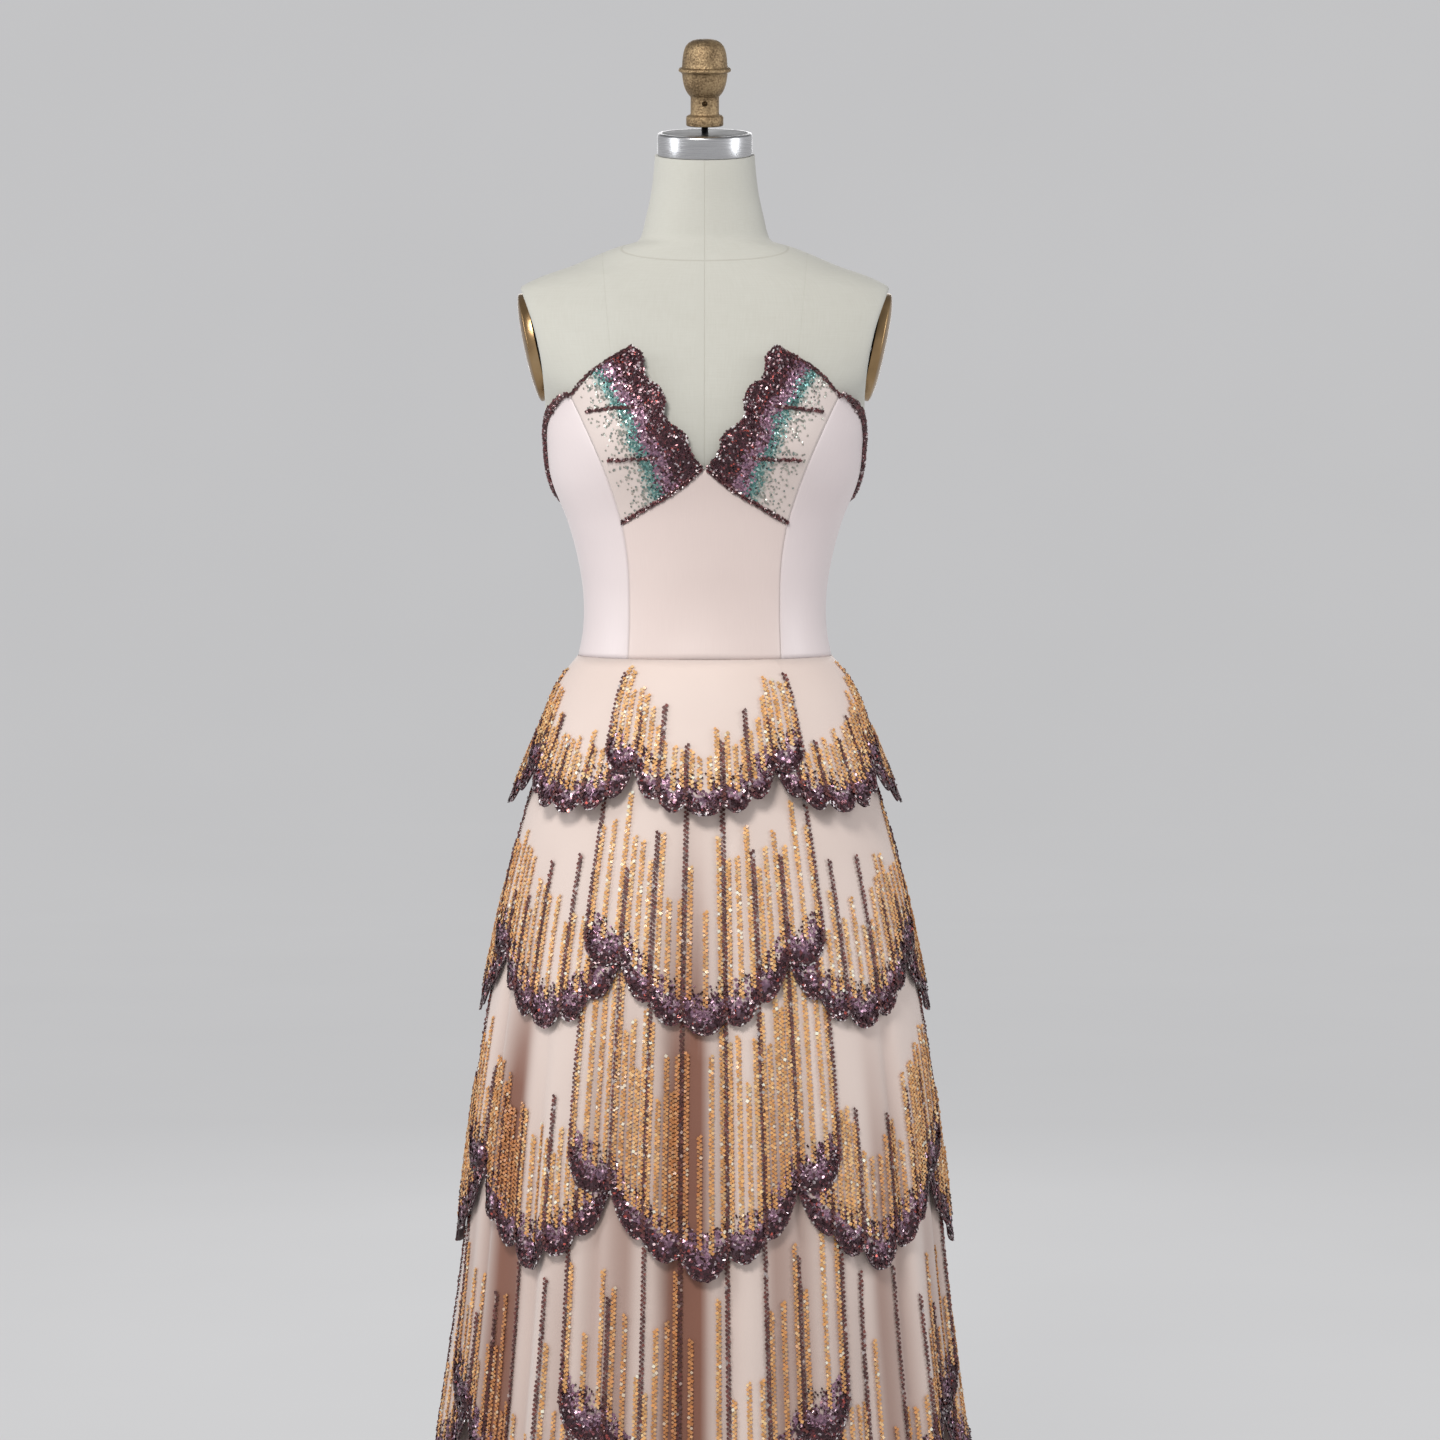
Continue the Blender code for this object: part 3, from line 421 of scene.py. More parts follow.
# The princess lines run 86 mm from the middle at 1280 mm, and lean out a tenth of their height
princess_x = math(linen, "MULTIPLY_ADD", math(linen, "SUBTRACT", z, 1.28), 0.10, 0.086)
princess_off = math(linen, "SUBTRACT", math(linen, "ABSOLUTE", x), princess_x)
princess_away = math(linen, "ABSOLUTE", princess_off)
below_neck = math(linen, "LESS_THAN", neck_height, 0.0)
princess_shown = math(linen, "MULTIPLY", below_neck, 0.45)
princess = math(linen, "MULTIPLY", seam_line(linen, princess_away, 0.0006), princess_shown)
seams = math(linen, "MAXIMUM", math(linen, "MAXIMUM", front_seam, neck_seam), princess)
worn = mix_colours(linen, math(linen, "MULTIPLY", seams, 0.5), linen_colour, (0.40, 0.38, 0.32, 1))
to_shader(linen, "Base Color", worn)
weave = bump(linen, slubs, 0.15, 0.0004)
bump(linen, math(linen, "SUBTRACT", 1.0, seams), 0.5, 0.0006, weave)

# Rows stand closest together over the shoulders: share of the rows up to each height
row_shares = np.array([0, 0.22, 0.50, 0.72, 0.88, 1])
row_heights = np.array([0.83, 1.15, 1.36, 1.45, 1.50, 1.566])
heights = np.interp(np.linspace(0, 1, FORM_ROWS), row_shares, row_heights)
turn, level = np.meshgrid(all_round(FORM_COLUMNS), heights)
surface = planed(torso(turn, level, held))
lean = np.tan(np.radians(np.interp(level, SECTION_Z, SECTION_TILT)))
surface[..., 2] += lean * (surface[..., 1] - held(level, SECTION_Z, SET_BACK))
form = new_piece(
    "linen_torso", surface, capped_faces(FORM_ROWS, FORM_COLUMNS), linen,
    layout=np.stack([turn * FORM_GIRTH_RADIUS, level], axis=-1),
)
form.data.set_sharp_from_angle(angle=np.radians(60))
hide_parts("form_body")

# The fittings of the neck: a spun steel cap, brushed round its side, that sits on the leaning cut
# of the neck, a dark steel stud, and a finial cast in brass and left rough, with a pin hole.

NECK_TILT = 9.5
CAP_PROFILE = [
    (0, 0), (47.8, 0), (48.3, 0.3), (48.4, 0.9), (48.4, 19.9), (48.1, 21.1), (47.3, 22),
    (46.2, 22.4), (44, 22.5), (0, 22.5),
]
# The stud's thread: crests and roots by turns, 3.6 and 3.15 mm in radius, every half millimetre
STUD_PROFILE = [(0, 0), (3.2, 0)] + [
    (3.6 - 0.45 * (step % 2), 0.25 + 0.5 * step) for step in range(13)
] + [(3.2, 6.5), (0, 6.5)]
FINIAL_PROFILE = [
    (0, 0), (17.8, 0), (18.7, 0.5), (19, 1.7), (19, 8.4), (18.5, 9.8), (17.2, 10.8), (15.4, 11.3),
    (14.7, 12.2), (14.5, 13.5), (14.5, 28.5), (14.8, 29.6), (15.8, 30.8), (17.4, 32.6), (19.4, 36),
    (21, 40), (22.1, 44.5), (22.8, 49), (23.2, 52.4), (23.9, 53.8), (25.4, 54.6), (26.5, 55.4),
    (26.8, 56.7), (26.4, 58), (25, 58.9), (23.7, 59.5), (23.2, 60.6), (23, 63), (22.6, 68),
    (22, 72.5), (20.9, 77), (19.2, 80.8), (16.4, 84), (12.6, 86.2), (8, 87.3), (3, 87.6), (0, 87.6),
]
SEAT_GAP = 0.0003
PIN_HOLE_HEIGHT = 0.0235
PIN_HOLE_END = 0.0039  # in front of the finial's axis
PIN_HOLE_PROFILE = [(0, 0), (2.9, 0), (2.9, 19), (0, 19)]
neck_top = Matrix.Translation((0, 0, SECTION_Z[-1]))
lean_of_neck = neck_top @ Matrix.Rotation(np.radians(NECK_TILT), 4, "X")

brushed_steel = new_finish("brushed_steel", (0.56, 0.56, 0.57), 0.28, 1.0, Anisotropic=0.5)
place = object_place(brushed_steel)
streaks = noise(brushed_steel, place, 60, 3, (0.5, 0.5, 28))
coloured(brushed_steel, streaks, (0.3, (0.50, 0.50, 0.51)), (0.7, (0.60, 0.60, 0.61)))
worn_gloss(brushed_steel, streaks, 0.2, 0.16)
bump(brushed_steel, streaks, 0.12, 0.0003)

cast_brass = new_finish("cast_brass", (0.30, 0.21, 0.11), 0.45, 0.85)
place = object_place(cast_brass)
pits = noise(cast_brass, place, 520, 6)
stain = noise(cast_brass, place, 60, 4)
both = weighed(cast_brass, pits, 0.6, stain, 0.4)
coloured(
    cast_brass, both,
    (0.36, (0.13, 0.085, 0.045)), (0.48, (0.29, 0.20, 0.11)), (0.68, (0.50, 0.37, 0.21)),
)
worn_gloss(cast_brass, stain, 0.3, 0.35)
bump(cast_brass, pits, 0.7, 0.0012)

dark_steel = new_finish("dark_steel", (0.06, 0.06, 0.065), 0.42, 0.9)
place = object_place(dark_steel)
smudges = noise(dark_steel, place, 40, 4)
coloured(dark_steel, smudges, (0.3, (0.035, 0.035, 0.038)), (0.7, (0.09, 0.09, 0.095)))
worn_gloss(dark_steel, smudges, 0.25, 0.3)

cap_place = lean_of_neck @ Matrix.Translation((0, 0, SEAT_GAP))
cap = turned("steel_neck_cap", CAP_PROFILE, 96, brushed_steel, place=cap_place)
# The cap's top disc takes the dark steel finish as a painted reflection: it stands for dark
# surroundings mirrored in the spun top.
cap.data.materials.append(dark_steel)
cap.data.polygons[-1].material_index = 1
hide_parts("form_neck_cap")
cap_height, stud_height = CAP_PROFILE[-1][1] * MM, STUD_PROFILE[-1][1] * MM
stud_place = lean_of_neck @ Matrix.Translation((0, 0, cap_height + 2 * SEAT_GAP))
stud = turned("threaded_neck_stud", STUD_PROFILE, 32, dark_steel, place=stud_place)
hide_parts("form_neck_stud")
finial_place = stud_place @ Matrix.Translation((0, 0, stud_height + SEAT_GAP))
finial = turned("brass_finial", FINIAL_PROFILE, 64, cast_brass, place=finial_place)
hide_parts("form_finial")


def cut_away(piece, cutter):
    """Cuts a piece by another one, once, and throws the cutter away."""
    cut = piece.modifiers.new("cut", "BOOLEAN")
    cut.operation = "DIFFERENCE"
    cut.solver = "EXACT"
    cut.object = cutter
    bpy.context.view_layer.update()
    shown = piece.evaluated_get(bpy.context.evaluated_depsgraph_get())
    mesh = bpy.data.meshes.new_from_object(shown)
    piece.modifiers.clear()
    piece.data = mesh
    bpy.data.objects.remove(cutter, do_unlink=True)
    mesh.set_sharp_from_angle(angle=np.radians(TURNED_EDGE))


hole_place = finial_place @ Matrix.Translation((0, -PIN_HOLE_END, PIN_HOLE_HEIGHT))
drill_place = hole_place @ Matrix.Rotation(np.pi / 2, 4, "X")
cut_away(finial, turned("drill", PIN_HOLE_PROFILE, 24, cast_brass, place=drill_place))

# The arm plates: shallow domes of bronzed sheet metal that close the armholes of the form, each
# pressed over an oval and set a hair off the linen.

HANDS = ((-1, "left"), (1, "right"))
PLATE_HALF_HEIGHT = 0.056
PLATE_HALF_WIDTH = 0.045
PLATE_DOME = 0.0075
# shares of the plate's half size and of its dome
PLATE_PROFILE = [
    (0, -0.85), (0.99, -0.85), (1.0, -0.8), (1.0, 0.16), (0.985, 0.3), (0.95, 0.42), (0.88, 0.57),
    (0.78, 0.72), (0.64, 0.85), (0.46, 0.94), (0.25, 0.985), (0.1, 1.0), (0, 1.0),
]


def armhole_place(side):
    """Stands on the flat of an armhole: local Z points out of the body and local X up the flat."""
    top, bottom = Vector(ARMHOLE_TOP), Vector(ARMHOLE_BOTTOM)
    up = (top - bottom).normalized()
    middle = (top + bottom) / 2
    along = Vector((side * up.x, 0, up.y))
    out = Vector((side * up.y, 0, -up.x))
    matrix = Matrix((along, out.cross(along), out)).transposed().to_4x4()
    matrix.translation = (side * middle.x, ARMHOLE_Y, middle.y)
    return matrix


arm_plate_metal = new_finish("arm_plate_metal", (0.36, 0.24, 0.12), 0.3, 0.9)
place = object_place(arm_plate_metal)
tarnish = noise(arm_plate_metal, place, 24, 5)
coloured(
    arm_plate_metal, tarnish,
    (0.3, (0.26, 0.165, 0.08)), (0.55, (0.38, 0.25, 0.125)), (0.75, (0.46, 0.33, 0.19)),
)
worn_gloss(arm_plate_metal, tarnish, 0.3, 0.16)
bump(arm_plate_metal, noise(arm_plate_metal, place, 300, 4), 0.12, 0.0005)

for side, name in HANDS:
    size = Matrix.Diagonal((PLATE_HALF_HEIGHT, PLATE_HALF_WIDTH, PLATE_DOME, 1))
    place = armhole_place(side) @ Matrix.Translation((0, 0, SEAT_GAP)) @ size
    profile = [(radius / MM, height / MM) for radius, height in PLATE_PROFILE]
    plate = turned(f"bronzed_arm_plate_{name}", profile, 80, arm_plate_metal, place=place)
    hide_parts(f"form_arm_plate_{name}")

# The bodice: seven panels of blush satin, cut on the princess lines and sewn into a shell that
# fits the form. Each is filled in between its four edges on the form's surface, moved out.

WAIST_Z = 1.055
SEAM_GAP = 0.0003
SATIN_GAP = 0.0016
SATIN_WALL = 0.0015
BODICE_OUT = SATIN_GAP + SATIN_WALL
SATIN_THICKNESS = 0.0012
SATIN_ROLL = 0.0003

# Outlines from the front, in mm: distance from the middle, height above the waist seam
PRINCESS_SEAM_LOW = [(76, 0.5), (74.7, 50), (76.7, 103), (82, 137)]
PRINCESS_SEAM_HIGH = [(82, 137), (87, 155), (102, 198), (121, 240), (134, 267)]
CUP_LOWER_EDGE = [(82, 137), (53, 155), (27, 171), (1.5, 193)]
CUP_INNER_EDGE = [
    (1.5, 193), (15, 212), (18, 224), (32, 234), (40, 243), (39, 256),
    (45, 270), (57, 278), (60, 288), (61, 299), (71, 311),
]
CUP_TOP_EDGE = [(134, 267), (116, 286), (95, 300), (71, 311)]
# Top edge of the side and back panels: angle, height above the waist seam in mm
BACK_TOP_EDGE = [
    (53, 267), (64, 258), (73, 247), (79, 230), (85, 206), (90, 184), (110, 163), (140, 158),
    (180, 160),
]
SIDE_SEAM = 90
BACK_SEAM = 135
ZIP_HALF_WIDTH = 0.003
LOW_ROWS = 32
HIGH_ROWS = 40


def lengths_along(path):
    """The length of a path up to each of its points."""
    steps = np.linalg.norm(np.diff(path, axis=0), axis=1)
    return np.concatenate([[0], np.cumsum(steps)])


def along(points, shares):
    """Points at shares of the length of a polyline, rounded by a cubic through its points."""
    points = np.array(points, float) * MM
    length = lengths_along(points)
    at = np.array(shares) * length[-1]
    return np.stack([smooth(at, length, points[:, 0]), smooth(at, length, points[:, 1])], axis=-1)


def angle_at(x, z):
    """The angle at which the front of the form lies at a distance x from its middle."""
    angle = np.arcsin(np.clip(x / smooth(z, SECTION_Z, HALF_WIDTH), -1, 1))
    for _ in range(8):
        found = torso(angle, z)[..., 0]
        slope = smooth(z, SECTION_Z, HALF_WIDTH) * np.maximum(np.cos(angle), 0.2)
        angle = angle + (x - found) / slope
    return angle


def front_edge(outline, shares, side):
    """Angles and heights of an edge that is given by its outline from the front."""
    points = along(outline, shares)
    z = WAIST_Z + points[:, 1]
    return np.stack([side * angle_at(points[:, 0], z), z], axis=-1)


def top_edge(first_angle, last_angle, count):
    degrees, height = zip(*BACK_TOP_EDGE)
    angles = np.linspace(first_angle, last_angle, count)
    z = WAIST_Z + smooth(angles, np.array(degrees, float), np.array(height, float)) * MM
    return np.stack([np.radians(angles), z], axis=-1)


def waist_edge(first, last, count):
    angles = np.linspace(first, last, count)
    return np.stack([angles, np.full(count, WAIST_Z + SEAM_GAP / 2)], axis=-1)


def fill(bottom, top, left, right):
    """Fills in a grid between four edges: the blend of each two edges that face one another, less
    the blend of the four corners."""
    u = np.linspace(0, 1, len(bottom))[None, :, None]
    v = np.linspace(0, 1, len(left))[:, None, None]
    sides = (1 - u) * left[:, None] + u * right[:, None]
    ends = (1 - v) * bottom[None] + v * top[None]
    low, high = (1 - u) * bottom[0] + u * bottom[-1], (1 - u) * top[0] + u * top[-1]
    return sides + ends - ((1 - v) * low + v * high)


def on_form(grid, lift):
    """Points of a grid of angles and heights on the form's surface, moved out along its normal."""
    outward = torso_outward(grid[..., 0], grid[..., 1])
    return torso(grid[..., 0], grid[..., 1]) + outward * np.asarray(lift)[..., None]


def seam_roll(rows, columns):
    """How far a panel dips at its edges, where its cloth turns under into the seam: the roll times
    exp(-1.6 n), n rows or columns in from the nearest edge."""
    row = np.minimum(np.arange(rows), np.arange(rows)[::-1])[:, None]
    column = np.minimum(np.arange(columns), np.arange(columns)[::-1])[None, :]
    return SATIN_ROLL * np.exp(-1.6 * np.minimum(row, column))


def thicken(piece, thickness):
    """Gives a sheet its wall, inwards from the face that is seen."""
    wall = piece.modifiers.new("thickness", "SOLIDIFY")
    wall.thickness = thickness
    wall.offset = -1


def cloth_sheet(name, points, finish, thickness):
    """A sheet from a grid of points, with squares between them. It lies flat at the mean distances
    between its rows and between its columns."""
    up = np.linalg.norm(np.diff(points, axis=0), axis=-1).mean(axis=1)
    over = np.linalg.norm(np.diff(points, axis=1), axis=-1).mean(axis=0)
    u, v = np.meshgrid(*(np.concatenate([[0], np.cumsum(steps)]) for steps in (over, up)))
    faces = grid_faces(*points.shape[:2])
    piece = new_piece(name, points, faces, finish, layout=np.stack([u, v], axis=-1))
    thicken(piece, thickness)
    return piece


def satin(name, colour, shade):
    """Satin with a soft gloss: long warp floats give faint upright streaks, and its colour drifts
    a little."""
    finish = new_finish(name, colour, 0.42, Sheen_Weight=0.25, Sheen_Roughness=0.35)
    cloth = cloth_place(finish)
    floats = noise(finish, cloth, 1400, 2, (1, 0.03, 1))
    drift = noise(finish, object_place(finish), 6, 3)
    tone = weighed(finish, floats, 0.3, drift, 0.7)
    coloured(finish, tone, (0.3, shade), (0.7, colour))
    worn_gloss(finish, drift, 0.16, 0.34)
    bump(finish, floats, 0.10, 0.0003)
    return finish


front_satin = satin("blush_satin_front", (0.76, 0.64, 0.60), (0.70, 0.58, 0.545))
# The side panels' satin is lighter and cooler than the front's: partly a cooler tone of its own,
# partly a painted sheen of the light along the sides.
sheen_painted_side_satin = satin("blush_satin_side_painted_sheen", (0.78, 0.69, 0.685), (0.72, 0.63, 0.63))

rows = np.linspace(0, 1, LOW_ROWS + 1)
half = np.linspace(0, 1, 31)
left, right = (front_edge(PRINCESS_SEAM_LOW, rows, side) for side in (-1, 1))
top_left, top_right = (front_edge(CUP_LOWER_EDGE, half, side) for side in (-1, 1))
top_right = top_right[::-1]
top = np.concatenate([top_left[:-1], [(top_left[-1] + top_right[0]) / 2], top_right[1:]])
bottom = waist_edge(left[0, 0], right[0, 0], len(top))
left[0], right[0] = bottom[0], bottom[-1]
grid = fill(bottom, top, left, right)
points = on_form(grid, BODICE_OUT - seam_roll(*grid.shape[:2]))
points[0, :, 2] = WAIST_Z + SEAM_GAP / 3
bodice_front = cloth_sheet("bodice_front_centre", points, front_satin, SATIN_THICKNESS)
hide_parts("front_centre")

low_length, high_length = (
    lengths_along(np.array(seam, float))[-1] for seam in (PRINCESS_SEAM_LOW, PRINCESS_SEAM_HIGH)
)
side_shares = np.concatenate([
    np.linspace(0, low_length, LOW_ROWS + 1),
    np.linspace(low_length, low_length + high_length, HIGH_ROWS + 1)[1:],
]) / (low_length + high_length)
princess_edge = np.concatenate([
    front_edge(PRINCESS_SEAM_LOW, np.linspace(0, 1, LOW_ROWS + 1), 1),
    front_edge(PRINCESS_SEAM_HIGH, np.linspace(0, 1, HIGH_ROWS + 1), 1)[1:],
])


def straight_seam(degrees):
    foot = waist_edge(np.radians(degrees), 0, 1)[0]
    head = top_edge(degrees, degrees, 1)[0]
    foot[0] = head[0]
    return foot + side_shares[:, None] * (head - foot)


side_edge, back_edge, zip_edge = map(straight_seam, (SIDE_SEAM, BACK_SEAM, 180))
zip_edge[:, 0] = np.pi - ZIP_HALF_WIDTH / smooth(zip_edge[:, 1], SECTION_Z, HALF_WIDTH)

# name, node, front edge, back edge, columns, width and length of the cut, its area
SIDE_PANELS = [
    ("bodice_side_front", "front_side", princess_edge, side_edge, 36, (0.16, 0.27), 0.030),
    ("bodice_side_back", "back_side", side_edge, back_edge, 28, (0.12, 0.19), 0.0150),
    ("bodice_back", "back", back_edge, zip_edge, 28, (0.12, 0.165), 0.0165),
]
side_outlines = {}
for name, node, near, far, columns, flat, area in SIDE_PANELS:
    top = top_edge(np.degrees(near[-1, 0]), np.degrees(far[-1, 0]), columns + 1)
    top[0], top[-1] = near[-1], far[-1]
    bottom = waist_edge(near[0, 0], far[0, 0], columns + 1)
    grid = fill(bottom, top, near, far)
    side_outlines[node] = top
    for side, hand in HANDS:
        panel = grid[:, ::-1] * (-1, 1) if side < 0 else grid
        points = on_form(panel, BODICE_OUT - seam_roll(*panel.shape[:2]))
        points[0, :, 2] = WAIST_Z + SEAM_GAP / 3
        piece = cloth_sheet(f"{name}_{hand}", points, sheen_painted_side_satin, SATIN_THICKNESS)
        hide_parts(f"{node}_{hand}")

# The cups: two wings of nude satin that stand off the chest at their scalloped inner edges. They
# are beaded by hand: plum at the inner edge, then mauve, then teal, then scattered silver dots.

# share of the way from the princess seam to the inner edge, lift in mm
CUP_LIFT = [(0.0, 0.0), (0.45, 1.0), (0.75, 3.5), (1.0, 7.5)]
CUP_ROWS = 72
CUP_COLUMNS = 40
CUP_SEQUINS = 5200
# An even scatter's steps: 1/p and 1/p^2 of the plastic number p = 1.3247
EVEN_STEPS = (0.7548776662, 0.5698402910)

# Small shapes, as points in half sizes and faces: a six-sided sequin, a bead seen all round, and a
# bead sewn flat on the cloth, which has a base and a peak
SEQUIN = (
    np.array([(np.sin(a), np.cos(a), 0) for a in np.arange(6) * np.pi / 3]),
    np.array([(0, 2, 1), (0, 3, 2), (0, 5, 3), (3, 5, 4)]),
)
BEAD = (
    np.array([(1, 0, 0), (0, 1, 0), (0, 0, 1), (-1, 0, 0), (0, -1, 0), (0, 0, -1)], float),
    np.array([
        (0, 1, 2), (1, 3, 2), (3, 4, 2), (4, 0, 2), (1, 0, 5), (3, 1, 5), (4, 3, 5), (0, 4, 5),
    ]),
)
SEWN_BEAD = (
    np.array([(1, 0, -0.3), (0, 1, -0.3), (-1, 0, -0.3), (0, -1, -0.3), (0, 0, 0.85)]),
    np.array([(0, 1, 4), (1, 2, 4), (2, 3, 4), (3, 0, 4), (0, 2, 1), (0, 3, 2)]),
)


def sewn_on(name, groups, shape, finish):
    """Copies of one small shape as one mesh, from groups of places, axes and colours. Each point is
    its copy's place plus the shape's point times the copy's three axes, whose lengths are its half
    sizes. Each copy keeps its colour."""
    places, axes, colours = (np.concatenate(parts) for parts in zip(*groups))
    outline, outline_faces = shape
    points = places[:, None] + np.einsum("vk,nkc->nvc", outline, axes)
    numbers = outline_faces[None] + len(outline) * np.arange(len(places))[:, None, None]
    piece = new_piece(name, points, numbers.reshape(-1, 3), finish, smooth=False)
    shown = np.ones((len(places), len(outline), 4), np.float32)
    shown[..., :3] = colours[:, None]
    paint = piece.data.color_attributes.new("bead_colour", "FLOAT_COLOR", "POINT")
    paint.data.foreach_set("color", shown.ravel())
    return piece


def unit(vectors):
    return vectors / np.maximum(np.linalg.norm(vectors, axis=-1, keepdims=True), 1e-9)


def turned_axes(over, up, out, spin, tilt_over, tilt_up):
    """Axes turned by spin in the plane of the cloth, then tipped out of it by two small angles."""
    c, s = np.cos(spin)[:, None], np.sin(spin)[:, None]
    a, b = over * c + up * s, up * c - over * s
    a = unit(a + out * np.tan(tilt_over)[:, None])
    b = unit(b + out * np.tan(tilt_up)[:, None])
    n = unit(np.cross(a, b))
    return np.stack([a, np.cross(n, a), n], axis=1)


def pick(random, count, choices):
    """A colour for each bead, from a table of share and colour, with a brightness of its own."""
    shares = np.array([share for share, _ in choices], float)
    colours = np.array([colour for _, colour in choices], float)
    number = random.choice(len(choices), count, p=shares / shares.sum())
    return np.minimum(colours[number] * random.uniform(0.75, 1.25, (count, 1)), 0.97)


def bead_finish(name, roughness, metallic, coat):
    """Glass or foil in each bead's own colour, with a clear gloss over it."""
    gloss = {"Coat_Weight": coat, "Coat_Roughness": 0.08}
    finish = new_finish(name, (0.5, 0.5, 0.5), roughness, metallic, **gloss)
    paint = put(finish, "ShaderNodeAttribute", attribute_name="bead_colour").outputs["Color"]
    cloudy = math(finish, "MULTIPLY", noise(finish, object_place(finish), 700, 2), 0.10)
    to_shader(finish, "Base Color", mix_colours(finish, cloudy, paint, (0.30, 0.14, 0.12, 1)))
    return finish


sequin_foil = bead_finish("sequin_foil", 0.24, 0.6, 0.3)
bugle_glass = bead_finish("bugle_glass", 0.25, 0.2, 0.35)

# Colours of the beads, with how often each comes
# Among the plum sequins, the pale pink-grey and the red ones are painted sparkle: glints given as
# sequin colours.
PLUM = [
    (6, (0.035, 0.012, 0.018)), (3, (0.075, 0.024, 0.036)), (1.4, (0.17, 0.045, 0.055)),
    (0.5, (0.50, 0.42, 0.45)), (0.25, (0.55, 0.10, 0.08)),
]
MAUVE = [
    (5, (0.27, 0.14, 0.21)), (3, (0.43, 0.25, 0.34)), (2.0, (0.08, 0.03, 0.04)),
    (0.9, (0.72, 0.52, 0.58)),
]
TEAL = [
    (6, (0.09, 0.25, 0.235)), (3, (0.17, 0.37, 0.34)), (0.9, (0.03, 0.03, 0.04)),
    (0.8, (0.50, 0.68, 0.64)),
]
SILVER_DOTS = [(3, (0.35, 0.355, 0.31)), (2, (0.46, 0.47, 0.41)), (1, (0.25, 0.30, 0.275))]
RIM = [(5, (0.045, 0.016, 0.022)), (2, (0.14, 0.04, 0.05)), (1.8, (0.66, 0.62, 0.62))]
CORD = [(5, (0.055, 0.018, 0.022)), (3, (0.14, 0.04, 0.045)), (0.7, (0.46, 0.38, 0.38))]
# Bugle beads of each trim: pitch, half length, half width, colours, wander off the line, turn
RIM_BEADS = (0.0021, 0.0018, 0.0012, RIM, 0.0013, 0.5)
CUP_FOOT_BEADS = (0.0017, 0.0019, 0.0015, CORD, 0.0008, 0.5)
CUP_TOP_BEADS = (0.0020, 0.0019, 0.0014, CORD, 0.0008, 0.5)
RIB_BEADS = (0.0013, 0.0022, 0.0019, CORD, 0.0013, 0.5)
SEQUIN_OUT = 0.0006
# Where each band of sequins ends, as a share of the cup from its inner edge
PLUM_END, MAUVE_END, TEAL_END, DOTS_END = 0.32, 0.48, 0.60, 0.95
DOTS_FADE = 0.35


def sampled(grid, u, v):
    """Points of a grid at shares u across and v up, blended from the four points round them."""
    rows, columns = grid.shape[:2]
    across, up = np.clip(u, 0, 1) * (columns - 1), np.clip(v, 0, 1) * (rows - 1)
    c, r = np.minimum(across.astype(int), columns - 2), np.minimum(up.astype(int), rows - 2)
    a, b = (across - c)[:, None], (up - r)[:, None]
    low = grid[r, c] * (1 - a) + grid[r, c + 1] * a
    high = grid[r + 1, c] * (1 - a) + grid[r + 1, c + 1] * a
    return low * (1 - b) + high * b


def surface_axes(at):
    """Place, direction across, direction up and outward normal, from a function that gives points
    and a step across and a step up."""
    place, over, up = at(0, 0), at(1, 0) - at(-1, 0), at(0, 1) - at(0, -1)
    over, up = unit(over), unit(up)
    return place, over, up, unit(np.cross(over, up))


def bead_line(random, path, out, pitch, half_long, half_wide, choices, wander, turn):
    """Places, axes and colours of beads strung along a path, each turned a little off its line."""
    length = lengths_along(path)
    count = max(2, int(length[-1] / pitch))
    at = (np.arange(count) + 0.5) * length[-1] / count

    def reached(at, values):
        return np.stack([np.interp(at, length, column) for column in values.T], axis=-1)

    normal = unit(reached(at, out))
    line = unit(reached(at + 0.001, path) - reached(at - 0.001, path))
    aside = unit(np.cross(line, normal))
    off = aside * random.uniform(-wander, wander, (count, 1))
    place = reached(at, path) + off + normal * half_wide * 0.7
    spin = random.uniform(-turn, turn, count)
    axes = turned_axes(line, aside, normal, spin, *random.uniform(-0.3, 0.3, (2, count)))
    sizes = np.array([half_long, half_wide, half_wide])[None, :, None]
    sizes = sizes * random.uniform(0.85, 1.15, (count, 1, 1))
    return place, axes * sizes, pick(random, count, choices)


def bead_scatter(random, place, over, up, out, size, tip, choices):
    """Sequins lying on the cloth, turned anyhow and tipped a little."""
    count = len(place)
    spin = random.uniform(0, np.pi, count)
    axes = turned_axes(over, up, out, spin, *random.normal(0, tip, (2, count)))
    sizes = size * random.uniform(0.85, 1.15, (count, 1, 1))
    return place + out * SEQUIN_OUT, axes * sizes, pick(random, count, choices)


cup_satin = new_finish("cup_satin", (0.66, 0.57, 0.54), 0.5, Sheen_Weight=0.2)
cloth = cloth_place(cup_satin)
cup_share = put(cup_satin, "ShaderNodeUVMap", uv_map="bands").outputs["UV"]
ragged = math(cup_satin, "MULTIPLY_ADD", noise(cup_satin, cloth, 260, 4), 0.16, -0.08)
band = math(cup_satin, "ADD", split(cup_satin, cup_share)["X"], ragged)
coloured(
    cup_satin, band,
    (0.33, (0.68, 0.58, 0.54)), (0.44, (0.30, 0.42, 0.39)), (0.52, (0.16, 0.32, 0.31)),
    (0.60, (0.22, 0.15, 0.24)), (0.72, (0.14, 0.07, 0.11)), (0.86, (0.06, 0.025, 0.035)),
)
bump(cup_satin, noise(cup_satin, cloth, 900, 2), 0.15, 0.0004)

